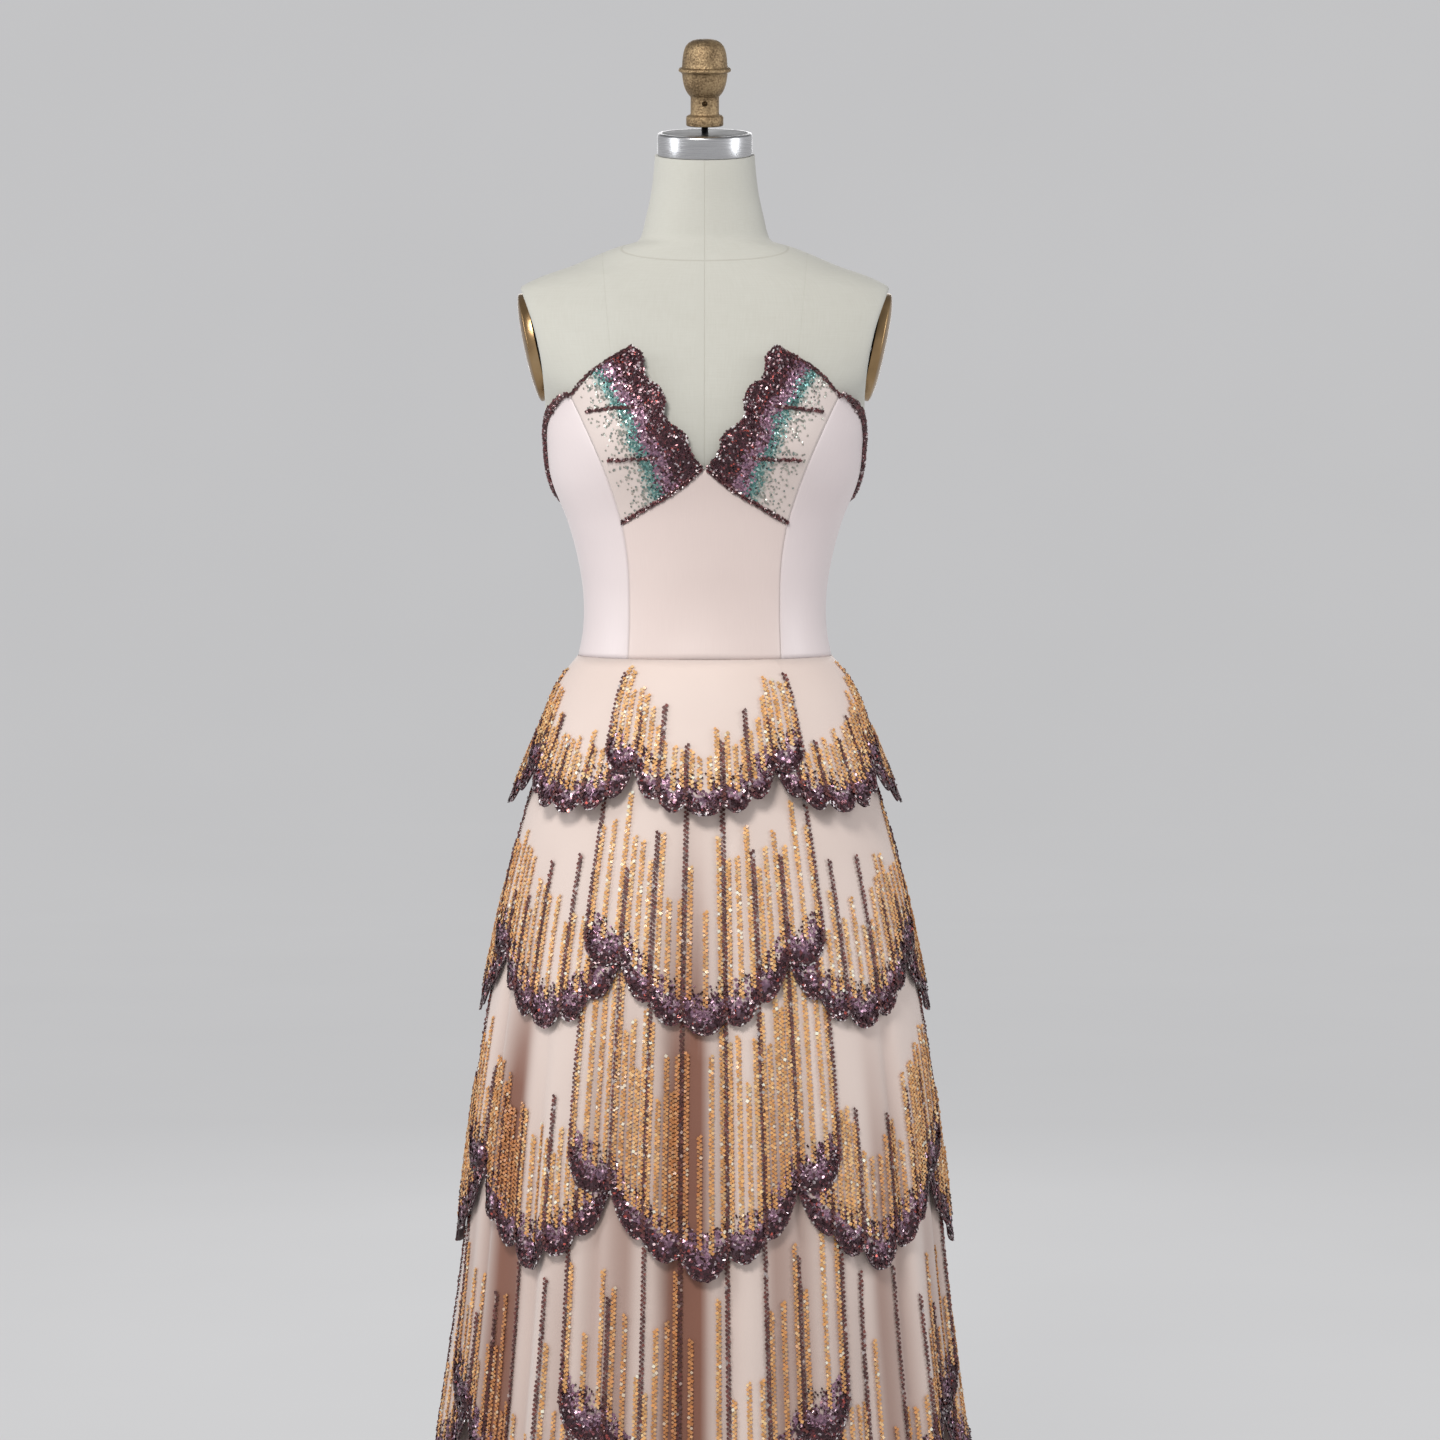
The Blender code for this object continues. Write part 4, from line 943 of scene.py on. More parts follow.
for side, hand in HANDS:
    random = np.random.default_rng(40 + side)
    rows, across = np.linspace(0, 1, CUP_ROWS + 1), np.linspace(0, 1, CUP_COLUMNS + 1)
    outer, inner, bottom, top = (
        front_edge(outline, shares, side) for outline, shares in (
            (PRINCESS_SEAM_HIGH, rows), (CUP_INNER_EDGE, rows),
            (CUP_LOWER_EDGE, across), (CUP_TOP_EDGE, across),
        )
    )
    grid = fill(bottom, top, outer, inner)
    lift_share, lift_mm = np.array(CUP_LIFT).T
    rising = np.clip(rows * 2.5, 0, 1)[:, None]
    lift = smooth(across, lift_share, lift_mm)[None] * MM * rising
    points = on_form(grid, BODICE_OUT + lift)
    # The right cup's columns are taken backwards, so that its faces look outwards too
    cup = cloth_sheet(f"bodice_cup_{hand}", points[:, ::-side], cup_satin, SATIN_THICKNESS)
    share = np.broadcast_to(across[::-side], points.shape[:2])
    lay_flat(cup.data, "bands", np.stack([share, 0 * share], axis=-1))
    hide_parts(f"cup_{hand}")

    def on_cup(u, v, grid=points, side=side):
        """Place and axes of the cup's surface at shares from the princess seam and from the lower
        edge, from steps of a hundredth."""
        place, over, up, out = surface_axes(
            lambda a, b: sampled(grid, u + a * 0.01, v + b * 0.01)
        )
        return place, over, up, out * -side

    u, v = np.outer(EVEN_STEPS, np.arange(CUP_SEQUINS)) % 1.0
    cloth_there = on_cup(u, v)
    away = 1 - u + random.normal(0, 0.035, CUP_SEQUINS)
    chance = random.uniform(0, 1, CUP_SEQUINS)
    fade = np.where(away > TEAL_END, np.clip((DOTS_END - away) / DOTS_FADE, 0, 1) * 1.3, 1)
    groups = []
    # from where, up to where, colours, share of the places that get one, half size, tip
    for start, end, choices, share_kept, size, tip in (
        (-1, PLUM_END, PLUM, 1.0, 0.0014, 0.28),
        (PLUM_END, MAUVE_END, MAUVE, 0.85, 0.0014, 0.28),
        (MAUVE_END, TEAL_END, TEAL, 0.8, 0.0012, 0.28),
        (TEAL_END, DOTS_END, SILVER_DOTS, 0.26, 0.0012, 0.2),
    ):
        chosen = (away >= start) & (away < end) & (chance < share_kept * fade)
        chosen_cloth = [values[chosen] for values in cloth_there]
        groups.append(bead_scatter(random, *chosen_cloth, size, tip, choices))
    sequins = sewn_on(f"cup_sequins_{hand}", groups, SEQUIN, sequin_foil)

    line = np.linspace(0, 1, 160)
    level = 0 * line
    groups = []
    # share from the princess seam to the inner edge, share of the way up, beads
    for u, v, beads in (
        (level + 1.0, line, RIM_BEADS),
        (level + 0.965, line, RIM_BEADS),
        (line, level + 0.002, CUP_FOOT_BEADS),
        (line, level + 0.018, CUP_FOOT_BEADS),
        (line * 0.99, level + 0.998, CUP_TOP_BEADS),
        (line * 0.97, level + 0.985, CUP_TOP_BEADS),
        (0.09 + line * 0.50, 0.45 - line * 0.17, RIB_BEADS),
        (0.09 + line * 0.50, 0.82 - line * 0.17, RIB_BEADS),
    ):
        path, _, _, out = on_cup(u, v)
        groups.append(bead_line(random, path, out, *beads))
    trim = sewn_on(f"cup_bead_trim_{hand}", groups, BEAD, bugle_glass)

# The bead trim along the top edge of the side and back panels: a thick cord of plum and silver
# bugle beads, couched over the edge of the satin.

EDGE_BEADS = (0.0019, 0.0021, 0.0016, CORD, 0.0011, 1.0)
# Rows of the cord, over the edge from inside to outside: how far below the edge, how far out
EDGE_ROWS = [
    (-0.0004, 0.0), (0.0014, 0.0017), (0.0032, 0.0020), (0.0050, 0.0010), (0.0066, 0.0),
]
edge = np.concatenate([side_outlines[node] for node in ("front_side", "back_side", "back")])
for side, hand in HANDS:
    random = np.random.default_rng(60 + side)
    outline = edge * (side, 1)
    normal = torso_outward(outline[:, 0], outline[:, 1])
    # The cord is thin where it leaves the cup, and has grown full 14 points along the edge
    grown = np.clip(np.arange(len(outline)) / 14, 0.3, 1)
    groups = []
    for drop, out in EDGE_ROWS:
        lowered = outline - np.stack([0 * grown, drop * grown], axis=-1)
        path = torso(lowered[:, 0], lowered[:, 1]) + normal * (BODICE_OUT + out)
        groups.append(bead_line(random, path, normal, *EDGE_BEADS))
    sewn_on(f"top_edge_bead_trim_{hand}", groups, BEAD, bugle_glass)

# The zip: a nylon coil closed at the centre back, on a narrow tape between the back panels. Its
# metal slider stays at the top, and the tab hangs from the slider's pin.

HALF_TOOTH = 0.0006
zip_nylon = new_finish("zip_nylon", (0.66, 0.56, 0.52), 0.4)
height = split(zip_nylon, object_place(zip_nylon))["Z"]
teeth = math(zip_nylon, "PINGPONG", height, HALF_TOOTH)
coil = math(zip_nylon, "DIVIDE", teeth, HALF_TOOTH)
coloured(zip_nylon, coil, (0.1, (0.50, 0.41, 0.38)), (0.7, (0.70, 0.60, 0.56)))
bump(zip_nylon, coil, 0.8, 0.0006)
zip_metal = new_finish("zip_metal", (0.62, 0.60, 0.57), 0.25, 1.0)
rubbed = noise(zip_metal, object_place(zip_metal), 900, 4)
coloured(zip_metal, rubbed, (0.3, (0.50, 0.48, 0.46)), (0.7, (0.72, 0.70, 0.67)))
worn_gloss(zip_metal, rubbed, 0.2, 0.16)
for node, finish in (("zip_tape", zip_nylon), ("zip_slider", zip_metal), ("zip_pull", zip_metal)):
    frame["nodes"][node].data.materials.clear()
    frame["nodes"][node].data.materials.append(finish)

# The skirt: a plain flared underskirt of soft blush cloth, gathered a little into the waist seam,
# that falls in eighteen soft folds. The tiers are sewn to it.

# height, half width, front depth, back depth in mm
SKIRT_LEVELS = [
    (10, 284, 270, 272),
    (160, 270, 252, 256),
    (380, 247, 226, 230),
    (600, 229, 200, 207),
    (800, 200, 166, 176),
    (985, 156.5, 119, 126),
    (1020, 147.5, 112, 113),
    (1055, 130.5, 101.0, 91.0),
]
# angle, depth at the hem in mm, half width in degrees, height where it begins in mm
FOLDS = [
    (-2, 23, 8, 960), (17, 14, 7, 800), (32, 9, 6, 700), (46, 15, 7, 800), (67, 12, 7, 700),
    (104, 14, 7, 800), (121, 20, 8, 880), (139, 12, 7, 760), (157, 17, 8, 860), (176, 11, 7, 800),
    (-160, 18, 8, 880), (-141, 12, 7, 760), (-122, 20, 8, 850), (-103, 13, 7, 760),
    (-74, 11, 6, 700), (-54, 25, 9, 880), (-34, 9, 6, 700), (-19, 14, 7, 820),
]
# Sharper creases between the folds, some of them ridges: the same four values
CREASES = [
    (-8, 5, 2.4, 880), (5, 7, 2.6, 960), (12, -4, 3.0, 620), (24, 6, 2.6, 760),
    (39, 5, 2.4, 560), (54, 7, 2.8, 840), (60, -4, 2.5, 520), (75, 6, 2.6, 700),
    (86, 5, 2.8, 900), (95, 4, 2.4, 480), (112, 7, 2.8, 800), (130, 6, 2.6, 900),
    (148, 5, 2.6, 640), (166, 7, 2.8, 820), (-172, 5, 2.5, 700), (-150, 6, 2.7, 860),
    (-132, 5, 2.5, 600), (-113, 7, 2.8, 840), (-92, 6, 2.6, 720), (-84, -4, 2.6, 500),
    (-66, 6, 2.5, 880), (-45, 7, 2.6, 780), (-40, -4, 2.4, 560), (-27, 6, 2.6, 900),
]
FULL_SHADE = 20  # depth in mm
# How wide the painted shade of a fold and of a crease is on its soft side and on its sharp side
SHADE_SIDES = ((FOLDS, 1.15, 0.45), (CREASES, 1.3, 0.7))
LIFT_WIDTH_TO_DEPTH = 1.15
SEAM_TUCK = 0.0013
TUCK_FROM = 1.030
TUCK_HEIGHT = 0.024
UNDERSKIRT_WALL = 0.001
UNDERSKIRT_ROUND = 0.25
SKIRT_ROWS = 42
SKIRT_COLUMNS = 216
LEVEL_Z, LEVEL_HALF, LEVEL_FRONT, LEVEL_BACK = columns_of(SKIRT_LEVELS)


def with_painted_fold_shade(finish, colour):
    """A colour with painted shade: it turns to dark warm peach deep in the folds."""
    depth = put(finish, "ShaderNodeAttribute", attribute_name="fold_shade").outputs["Fac"]
    share = math(finish, "MULTIPLY", depth, 0.96)
    return mix_colours(finish, share, colour, (0.21, 0.072, 0.038, 1))


def note(piece, name, values):
    """Keeps a number at each point of a piece, for its finish to read."""
    kept = piece.data.attributes.new(name, "FLOAT", "POINT")
    kept.data.foreach_set("value", values.astype(np.float32).ravel())


def outward_in_plan(angle):
    """Level direction in which every layer of the skirt is moved out."""
    return unit(np.stack([np.sin(angle), -LIFT_WIDTH_TO_DEPTH * np.cos(angle), 0 * angle], axis=-1))


def degrees_from(degrees, angle):
    """How far an angle is from a line down the skirt, in degrees, the short way round."""
    return np.degrees(np.angle(np.exp(1j * (angle - np.radians(degrees)))))


def fold_depth(angle, z):
    """How far the folds draw the skirt in: troughs exp(-(away / width)^2) across, which deepen as
    (share of the way down)^1.1 in a fold and within 250 mm in a crease."""
    depth = 0 * angle * z
    for table in (FOLDS, CREASES):
        for degrees, deep, width, start in table:
            down = start * MM - z
            fold_growth = np.clip(down / (start * MM), 0, 1) ** 1.1
            growth = fold_growth if table is FOLDS else ease(down / 0.25)
            across = np.exp(-((degrees_from(degrees, angle) / width) ** 2))
            depth = depth + deep * MM * growth * across
    return depth


def fold_shade(angle, z):
    """From 0 to 1, how deep in a fold a place lies, for the painted shade there. A fold's shade
    falls away softly on one side and sharply on the other, where its lip ends it."""
    shade = 0 * angle * z
    for table, soft, sharp in SHADE_SIDES:
        for degrees, deep, width, start in table:
            away = degrees_from(degrees, angle)
            reach = width * np.where(away * np.sign(degrees + 0.1) < 0, sharp, soft)
            growth = ease((start * MM + 0.02 - z) / 0.36)
            shade = shade + max(deep, 0) / FULL_SHADE * growth * np.exp(-((away / reach) ** 2))
    return np.clip(shade, 0, 1) ** 1.4


def skirt_surface(angle, z, lift):
    """Points of the skirt: an oval at each height, drawn in at its folds and moved out by lift."""
    half, front, back = (smooth(z, LEVEL_Z, kept) for kept in (LEVEL_HALF, LEVEL_FRONT, LEVEL_BACK))
    x = half * np.sin(angle)
    y = -np.where(np.cos(angle) > 0, front, back) * np.cos(angle)
    tuck = SEAM_TUCK * ease((z - TUCK_FROM) / TUCK_HEIGHT)
    moved = outward_in_plan(angle) * (lift - tuck - fold_depth(angle, z))[..., None]
    return np.stack([x, y, z + 0 * x], axis=-1) + moved


lining = new_finish("blush_lining", (0.70, 0.56, 0.51), 0.6, Sheen_Weight=0.3, Sheen_Roughness=0.5)
cloth = cloth_place(lining)
threads = noise(lining, cloth, 1200, 2, (1, 0.05, 1))
drift = noise(lining, object_place(lining), 4, 3)
tone = weighed(lining, threads, 0.3, drift, 0.7)
lining_colour = ramp(lining, tone, [(0.3, (0.68, 0.545, 0.49)), (0.7, (0.76, 0.63, 0.575))])
# The lining's colour carries painted shade deep in its folds.
to_shader(lining, "Base Color", with_painted_fold_shade(lining, lining_colour))
bump(lining, threads, 0.12, 0.0003)

heights = np.linspace(LEVEL_Z[0], LEVEL_Z[-1], SKIRT_ROWS)
turn, level = np.meshgrid(all_round(SKIRT_COLUMNS), heights)
underskirt = new_piece(
    "underskirt_cloth", skirt_surface(turn, level, 0 * turn),
    grid_faces(SKIRT_ROWS, SKIRT_COLUMNS, closed=True), lining,
    layout=np.stack([turn * UNDERSKIRT_ROUND, level], axis=-1),
)
thicken(underskirt, UNDERSKIRT_WALL)
note(underskirt, "fold_shade", fold_shade(turn, level))
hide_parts("underskirt")

# The tiers: four rows of eight petals of beaded tulle, each overlapping the next towards the back.
# A petal's hem is a shallow V of seven scallops. Plum and mauve sequins cover the hem, and strings
# of gold and plum beads rise from it, sewn through the tulle by hand.

# seam, lowest point, rise to the side, power of the rise, scallop drop, drop of the middle tongue,
# height of the side lobe, stand-off in mm
TIERS = [
    (1055.0, 903, 131, 3.2, 10, 11, 28, 22),
    (985, 688, 143, 2.2, 12, 13, 34, 11),
    (800, 447, 198, 2.7, 12, 24, 44, 13),
    (600, 195, 205, 2.6, 13, 25, 50, 12),
]
LOBE_HANG = 6
LOBE_TURN = 0.55
# gold strings in each scallop, their lowest and highest rise above the hem in mm, more rise at the
# petal's sides, the power that makes most strings short (over 1) or long (under 1), the width of
# the sequin band in mm, how far the edge strings stop below the seam, the height of gold strings on
# the other petals as a share of those on the front one (its square for plum strings), and the rise
# of each plum string between two scallops as a share of the petal
BEADING = [
    ((4, 3, 3, 4, 3, 3, 4), 55, 82, 22, 1.0, 23, 14, 0.95, (0.58, 0.76, 0.52, 0.52, 0.80, 0.58)),
    ((3, 3, 3, 3, 3, 3, 3), 115, 190, 0, 1.0, 27, 4, 0.76, (0.42, 0.64, 1.0, 1.0, 0.64, 0.44)),
    ((4, 5, 5, 4, 4, 5, 4), 130, 240, 0, 0.7, 29, 4, 0.66, (0.95, 0.92, 1.0, 1.0, 0.93, 0.97)),
    ((3, 3, 4, 2, 3, 3, 3), 105, 260, 0, 2.0, 33, 4, 0.80, (0.50, 0.80, 1.0, 0.97, 0.82, 0.55)),
]
# the cut of a petal in each tier: width and length in m, area in m2
PETAL_CUTS = [
    ((0.21, 0.155), 0.0245), ((0.27, 0.30), 0.056), ((0.31, 0.36), 0.077), ((0.36, 0.42), 0.102),
]
PETALS = 8
# the skirt's round is divided into 64 columns, and a petal covers 12 of them
FACETS = 64
PETAL_FACETS = 12
SCALLOP_STEPS = np.array((4, 3, 3, 4, 3, 3, 4)) / 24
SCALLOP_ENDS = np.concatenate([[0], np.cumsum(SCALLOP_STEPS)])
INNER_LAYER = 0.0005
OUTER_LAYER = 0.0035
PETAL_CLOTH = 0.0013
PETAL_WALL = 0.0009
PETAL_COLUMNS = 72
EDGE_STRINGS = (0.006, 0.994)


def petal_hem(tier, u):
    """Height of a petal's hem at a share u across. A line lowest + tongue + rise * |2u - 1|^power
    carries the scallops: round ones as (sine)^0.8, a blunt tongue in the middle, and at each side a
    lobe, a quarter round from the petal's edge down to its foot and one up to the first notch."""
    _, lowest, rise, power, drop, tongue, lobe, _ = TIERS[tier]
    u = np.clip(u, 0, 1)
    number = np.clip(np.searchsorted(SCALLOP_ENDS, u, side="right") - 1, 0, 6)
    t = np.clip((u - SCALLOP_ENDS[number]) / SCALLOP_STEPS[number], 0, 1)
    line = lowest + tongue + rise * np.abs(2 * u - 1) ** power
    scallop = line - drop * np.sin(np.pi * t) ** 0.8
    middle = line - tongue * (1 - np.abs(2 * t - 1) ** 2.6)
    inward = np.where(number == 0, t, 1 - t)
    foot = lowest + tongue + rise * np.abs(2 * SCALLOP_ENDS[1] - 1) ** power - LOBE_HANG
    falling = foot + lobe * (1 - np.sqrt(1 - np.clip(1 - inward / LOBE_TURN, 0, 1) ** 2))
    beyond = np.clip((inward - LOBE_TURN) / (1 - LOBE_TURN), 0, 1)
    rising = foot + LOBE_HANG * (1 - np.sqrt(1 - beyond**2))
    lobe_side = np.where(inward < LOBE_TURN, falling, rising)
    at_side = (number == 0) | (number == 6)
    return np.where(at_side, lobe_side, np.where(number == 3, middle, scallop)) * MM


def petal_column(number, u):
    """The column of the skirt at a share u across a petal."""
    return number * FACETS / PETALS - PETAL_FACETS / 2 + u * PETAL_FACETS


def petal_angle(number, u):
    return petal_column(number, u) * 2 * np.pi / FACETS


def petal_surface(tier, number, u, z, out=0.0):
    """Points of a petal at a share u across and a height: the skirt's own surface, moved out by the
    petal's layer, which grows towards the back, and by a stand-off that grows down to the hem."""
    seam, lowest, stand_off = TIERS[tier][0], TIERS[tier][1], TIERS[tier][-1]
    back = {0: 1 + 0 * u, PETALS // 2: 0 * u}.get(number, u if number < PETALS // 2 else 1 - u)
    down = (seam * MM - z) / ((seam - lowest) * MM)
    layer = INNER_LAYER + (OUTER_LAYER - INNER_LAYER) * back
    at_seam = ease(down / 0.12)
    layer = layer * (0.3 + 0.7 * at_seam)
    lift = layer + PETAL_CLOTH * (0.7 + 0.3 * at_seam) + stand_off * MM * down + out
    return skirt_surface(petal_angle(number, u), z, lift)


def petal_axes(tier, number, u, z):
    """Place and axes of a petal, from steps of 0.004 of its width and of 1 mm up."""
    return surface_axes(lambda a, b: petal_surface(tier, number, u + a * 0.004, z + b * 0.001))


def covered(tier, number, u, z, margin):
    """Whether a place on a petal is hidden: by the next petal towards the front, or by the tier
    above, whose hem is lower there."""
    fronts = {0: (), 4: (3, 5)}.get(number, (number - 1,) if number < 4 else ((number + 1) % 8,))
    hems = [(tier, front, margin) for front in fronts]
    if tier:
        hems += [(tier - 1, other, 0.010) for other in range(PETALS)]
    hidden = np.zeros(len(u), bool)
    for row, other, spare in hems:
        off = petal_column(number, u) - petal_column(other, 0)
        share = ((off + FACETS / 2) % FACETS - FACETS / 2) / PETAL_FACETS
        hidden |= (share > 0) & (share < 1) & (z > petal_hem(row, share) + spare)
    return hidden


tulle = new_finish(
    "beaded_tulle", (0.64, 0.50, 0.44), 0.62, Sheen_Weight=0.35, Sheen_Roughness=0.45
)
cloth = cloth_place(tulle)
net = noise(tulle, cloth, 1500, 2)
drift = noise(tulle, object_place(tulle), 5, 3)
tone = weighed(tulle, net, 0.35, drift, 0.65)
tulle_colour = ramp(tulle, tone, [(0.3, (0.68, 0.555, 0.50)), (0.7, (0.78, 0.65, 0.59))])
# The tulle's colour carries painted shade deep in its folds.
plain = with_painted_fold_shade(tulle, tulle_colour)
band_place = put(tulle, "ShaderNodeAttribute", attribute_name="hem_distance").outputs["Fac"]
ragged = math(tulle, "MULTIPLY_ADD", noise(tulle, cloth, 300, 3), 0.5, -0.25)
band = math(tulle, "ADD", band_place, ragged)
near_hem = seam_line(tulle, math(tulle, "SUBTRACT", band, 0.62), 0.35)
hem_colour = ramp(tulle, band, [(0.35, (0.055, 0.02, 0.03)), (0.7, (0.20, 0.11, 0.17))])
to_shader(tulle, "Base Color", mix_colours(tulle, near_hem, plain, hem_colour))
bump(tulle, net, 0.15, 0.0003)

gold_glass = bead_finish("gold_glass", 0.42, 0.0, 0.25)
string_glass = bead_finish("string_glass", 0.55, 0.0, 0.05)
GOLD = [
    (5, (0.73, 0.36, 0.115)), (4, (0.80, 0.44, 0.16)), (2, (0.84, 0.55, 0.26)),
    (0.5, (0.95, 0.86, 0.68)),
]
PLUM_STRING = [(6, (0.085, 0.019, 0.017)), (3, (0.16, 0.038, 0.03)), (0.4, (0.45, 0.40, 0.40))]
DOTS = [(5, (0.035, 0.015, 0.02)), (2, (0.09, 0.03, 0.04))]
# pitch and half size of the beads on a string
GOLD_ROPE = (0.0021, 0.0020, GOLD)
PLUM_ROPE = (0.0023, 0.0020, PLUM_STRING)
HEM_BUGLES = (0.0026, 0.0019, 0.0010, RIM, 0.0008, 0.7)
HEM_CORD = (0.0025, 0.0016, 0.0011, CORD, 0.0012, 0.9)
# Painted shade on beads deep in a fold: how much it takes off their colour
FOLD_SHADE_ON_BEADS = np.array([0.30, 0.47, 0.55])  # of a bead's red, green and blue
STREWN_ABOVE = 20  # mm of loose sequins above the band
CLOTH_PER_SEQUIN = 3.5e-6
DOT_SIZE = 0.0014
petal_columns = np.unique(np.concatenate([
    np.linspace(0, 1, PETAL_COLUMNS + 1), SCALLOP_ENDS, [0.006, 0.015, 0.985, 0.994],
]))
# Rows stand closest together at the hem: share of the way up from it
rows_up = np.array([
    0, 0.012, 0.028, 0.05, 0.078, 0.112, 0.155, 0.21, 0.28, 0.37, 0.48, 0.6, 0.72, 0.84, 0.93, 1,
])


def visible_run(tier, number, u, low, high):
    """A string's path up the petal from low to high, cut off where it goes under a hem."""
    z = np.linspace(low, high, max(8, int((high - low) / 0.004)))
    share = np.full(len(z), u)
    place, _, _, out = petal_axes(tier, number, share, z)
    shown = ~covered(tier, number, share, z, 0.002)
    stop = len(z) if shown.all() else int(np.argmin(shown))
    return place[:stop], out[:stop]


def rope(random, path, out, pitch, bead, choices, angle):
    """A string of two twisted strands: round beads that lie by turns left and right of its line,
    darkened down in a fold by painted shade."""
    place, axes, colours = bead_line(random, path, out, pitch, bead, bead, choices, 0, 0.6)
    aside = unit(np.cross(np.gradient(place, axis=0), axes[:, 2]))
    hand = np.where(np.arange(len(place)) % 2, 1, -1)[:, None]
    colours = colours * (1 - FOLD_SHADE_ON_BEADS * fold_shade(angle, place[:, 2])[:, None])
    return place + aside * hand * bead * 0.62, axes, colours


for tier in range(len(TIERS)):
    seam = TIERS[tier][0]
    (
        gold_count, gold_low, gold_high, side_rise, lean, band_width, edge_stop, other_share,
        plum_rise,
    ) = BEADING[tier]
    gold, dark, rim, dots, foil = [], [], [], [], []
    for number in range(PETALS):
        random = np.random.default_rng(1000 + 10 * tier + number)
        u, up_share = np.meshgrid(petal_columns, rows_up)
        hem = petal_hem(tier, u)
        z = hem + (seam * MM - hem) * up_share
        points = petal_surface(tier, number, u, z)
        petal = cloth_sheet(f"tier_{tier + 1}_tulle_{number}", points, tulle, PETAL_WALL)
        note(petal, "hem_distance", (z - hem) / (band_width * MM))
        note(petal, "fold_shade", fold_shade(petal_angle(number, u), z))
        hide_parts(f"tier_{tier + 1}_petal_{number}")

        # The hem's edge: a row of bugle beads and one of cord, where no other petal lies over them
        reach = 1 if number == 0 else other_share
        fine = np.linspace(0.002, 0.998, 320)
        hem = petal_hem(tier, fine)
        runs = np.flatnonzero(~covered(tier, number, fine, hem, 0.001))
        run = slice(runs[0], runs[-1] + 1)
        for above, beads in ((0.0008, HEM_BUGLES), (0.0032, HEM_CORD)):
            path, _, _, out = petal_axes(tier, number, fine, hem + above)
            rim.append(bead_line(random, path[run], out[run], *beads))

        # Plum strings: one up each side of the petal, and one from each notch between two scallops
        full_rises = [(share, 1.0) for share in EDGE_STRINGS]
        for share, rise in [*full_rises, *zip(SCALLOP_ENDS[1:-1], plum_rise)]:
            low = petal_hem(tier, np.array(share)) + (0.001 if share in EDGE_STRINGS else 0.004)
            if share not in EDGE_STRINGS:
                rise = rise * reach**2 * (1 if rise * reach >= 0.99 else random.uniform(0.85, 1.08))
            high = low + (seam * MM - edge_stop * MM - low) * min(rise, 1.0)
            path, out = visible_run(tier, number, share, low, high)
            if len(path) > 4:
                dark.append(rope(random, path, out, *PLUM_ROPE, petal_angle(number, share)))

        # Gold strings: spread over each scallop, from the top of the sequin band upwards
        for scallop, strings in enumerate(gold_count):
            for string in range(strings):
                t = (string + 0.5 + random.uniform(-0.12, 0.12)) / strings
                share = SCALLOP_ENDS[scallop] + t * SCALLOP_STEPS[scallop]
                base = petal_hem(tier, np.array(share))
                low = base + band_width * MM * random.uniform(0.86, 1.08)
                rise = gold_low + (gold_high - gold_low) * random.uniform(0, 1) ** lean
                rise = rise + side_rise * abs(2 * share - 1) ** 2
                high = min(base + rise * reach * MM, seam * MM - 0.006)
                path, out = visible_run(tier, number, share, low, high)
                if len(path) > 3:
                    gold.append(rope(random, path, out, *GOLD_ROPE, petal_angle(number, share)))

        # Sequins: strewn evenly, then kept by their distance from the hem, as a share of the band
        band_edge = petal_surface(tier, number, fine, hem)
        wide = np.linalg.norm(np.diff(band_edge, axis=0)[:, :2], axis=-1).sum()
        strewn = (band_width + STREWN_ABOVE) * MM
        count = int(wide * (band_width + STREWN_ABOVE) * MM / CLOTH_PER_SEQUIN)
        share = random.uniform(0, 1, count)
        height = petal_hem(tier, share) + random.uniform(0.0005, strewn, count)
        flat_hem = np.stack([fine * wide, hem], axis=-1)
        flat = np.stack([share * wide, height], axis=-1)
        away = np.linalg.norm(flat[:, None] - flat_hem[None, ::2], axis=-1).min(axis=1)
        away = np.maximum(away / (band_width * MM), 0.03)
        shown = ~covered(tier, number, share, height, 0.001)
        cloth_there = petal_axes(tier, number, share, height)
        chance = random.uniform(0, 1, count)
        away = away + random.normal(0, 0.08, count)
        # from where, up to where, share of the places that get one, colours, half size
        for start, end, share_kept, choices, size in (
            (-1, 0.46, 0.80, PLUM, 0.0018),
            (0.46, 0.98, 0.72, MAUVE, 0.0017),
            (0.95, 1.2, 0.12, MAUVE, 0.0014),
        ):
            chosen = shown & (away >= start) & (away < end) & (chance < share_kept)
            chosen_cloth = [values[chosen] for values in cloth_there]
            foil.append(bead_scatter(random, *chosen_cloth, size, 0.3, choices))
        # Dark dots where no sequin is, thinner from the band upwards
        chosen = shown & (away > 0.75) & (chance > 0.82 + 0.16 * np.clip(away - 0.8, 0, 1))
        place, over, up, out = (values[chosen] for values in cloth_there)
        axes = np.stack([over, up, out], axis=1) * DOT_SIZE
        dots.append((place + out * 1.5 * DOT_SIZE, axes, pick(random, len(place), DOTS)))

    bead_pieces = [
        sewn_on(f"tier_{tier + 1}_{name}", groups, shape, finish)
        for name, groups, shape, finish in (
            ("gold_bead_strings", gold, SEWN_BEAD, gold_glass),
            ("plum_bead_strings", dark, SEWN_BEAD, string_glass),
            ("hem_bugle_beads", rim + dots, SEWN_BEAD, bugle_glass),
            ("hem_sequins", foil, SEQUIN, sequin_foil),
        )
    ]
    flat, area = PETAL_CUTS[tier]

# The picture: a pale round studio floor that sweeps up to a pale wall, soft boxes on both sides
# and above the camera, and the camera at the photograph's height and framing.

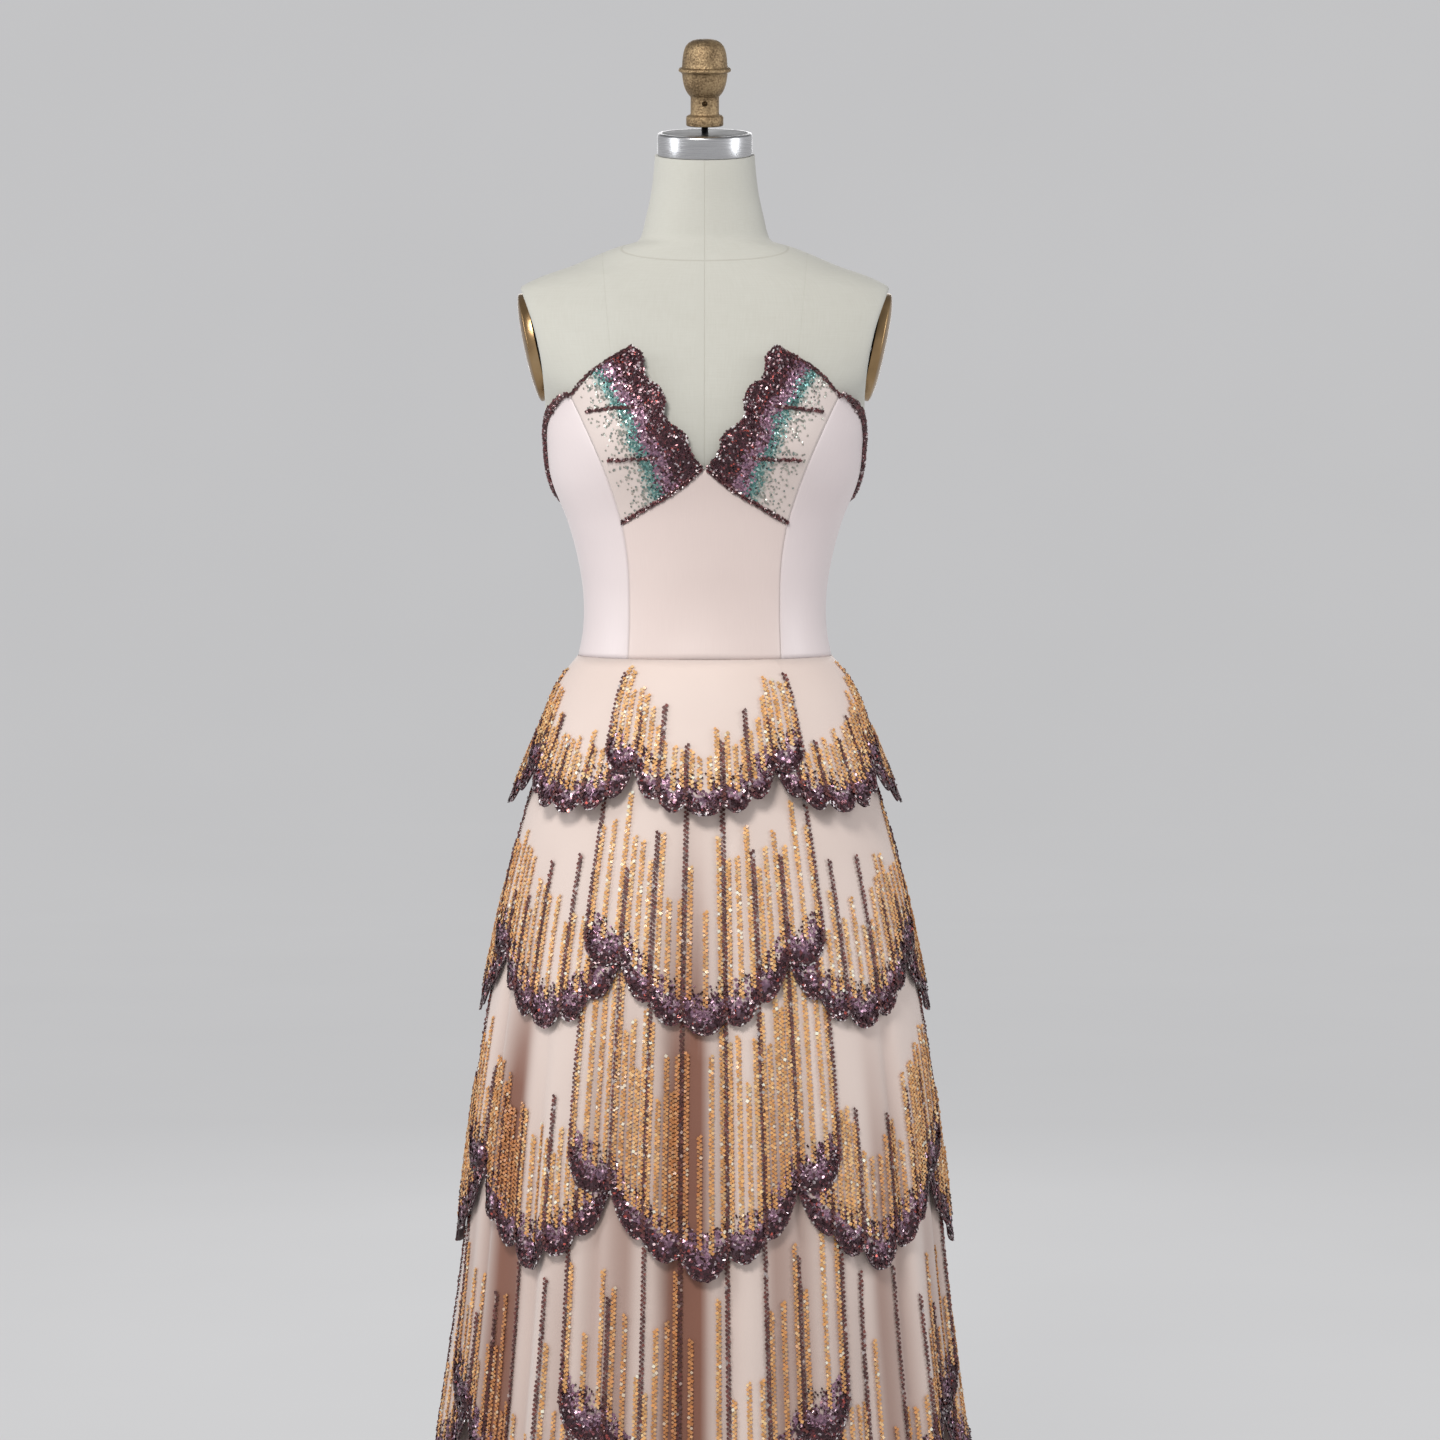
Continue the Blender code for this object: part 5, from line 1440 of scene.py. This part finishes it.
FLOOR_PROFILE = [
    (0.01, 0), (3, 0), (7.5, 0), (8.3, 0.15), (9, 0.6), (9.4, 1.3), (9.5, 2.2), (9.5, 4.5),
]
FLOOR_DROP = 0.0005
FLOOR_SIDES = 96
floor_finish = new_finish(
    "studio_floor", (0.20, 0.20, 0.20), 0.95,
    Emission_Color=(0.60, 0.60, 0.61, 1), Emission_Strength=0.75,
)
drift = noise(floor_finish, object_place(floor_finish), 1.5, 3)
coloured(floor_finish, drift, (0.3, (0.19, 0.19, 0.19)), (0.7, (0.21, 0.21, 0.21)))
rings = np.array(FLOOR_PROFILE, float) - (0, FLOOR_DROP)
floor_faces = grid_faces(len(rings), FLOOR_SIDES, closed=True).tolist() + [list(range(FLOOR_SIDES))]
floor = new_piece("studio_floor", revolved(rings, FLOOR_SIDES), floor_faces, floor_finish)
floor.parent = None
del floor["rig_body"]


def soft_box(name, place, aim, size, power, colour):
    light = bpy.data.lights.new(name, "AREA")
    light.shape = "RECTANGLE"
    light.size, light.size_y = size
    light.energy = power
    light.color = colour
    lamp = bpy.data.objects.new(name, light)
    bpy.context.scene.collection.objects.link(lamp)
    lamp.location = place
    lamp.rotation_euler = (Vector(aim) - Vector(place)).to_track_quat("-Z", "Y").to_euler()


soft_box("key_above_camera", (-0.7, -2.2, 2.8), (0, 0, 1.2), (0.8, 0.8), 52, (1.0, 0.985, 0.96))
soft_box("left_side", (-2.4, -0.5, 1.9), (0, 0, 1.2), (0.5, 1.6), 18, (0.95, 0.97, 1.0))
soft_box("right_side", (2.4, -0.5, 1.9), (0, 0, 1.2), (0.5, 1.6), 18, (0.95, 0.97, 1.0))
soft_box("back_fill", (0, 3.0, 1.9), (0, 0, 0.9), (1.6, 1.6), 22, (1.0, 1.0, 1.0))

world = bpy.data.worlds.new("studio")
world.use_nodes = True
world.node_tree.nodes["Background"].inputs["Color"].default_value = (0.55, 0.55, 0.56, 1)
world.node_tree.nodes["Background"].inputs["Strength"].default_value = 0.45
bpy.context.scene.world = world
bpy.context.scene.view_settings.view_transform = "Standard"

EYE = Vector((0.0155, -4.5, 1.28))
AIM = Vector((0.0155, 0.0, 0.988))
VIEW_WIDTH = 1.483
camera_data = bpy.data.cameras.new("camera")
camera_data.sensor_width = 36
camera_data.lens = 36 * (AIM - EYE).length / VIEW_WIDTH
camera = bpy.data.objects.new("camera", camera_data)
camera.location = EYE
camera.rotation_euler = (AIM - EYE).to_track_quat("-Z", "Y").to_euler()
bpy.context.scene.collection.objects.link(camera)
bpy.context.scene.camera = camera
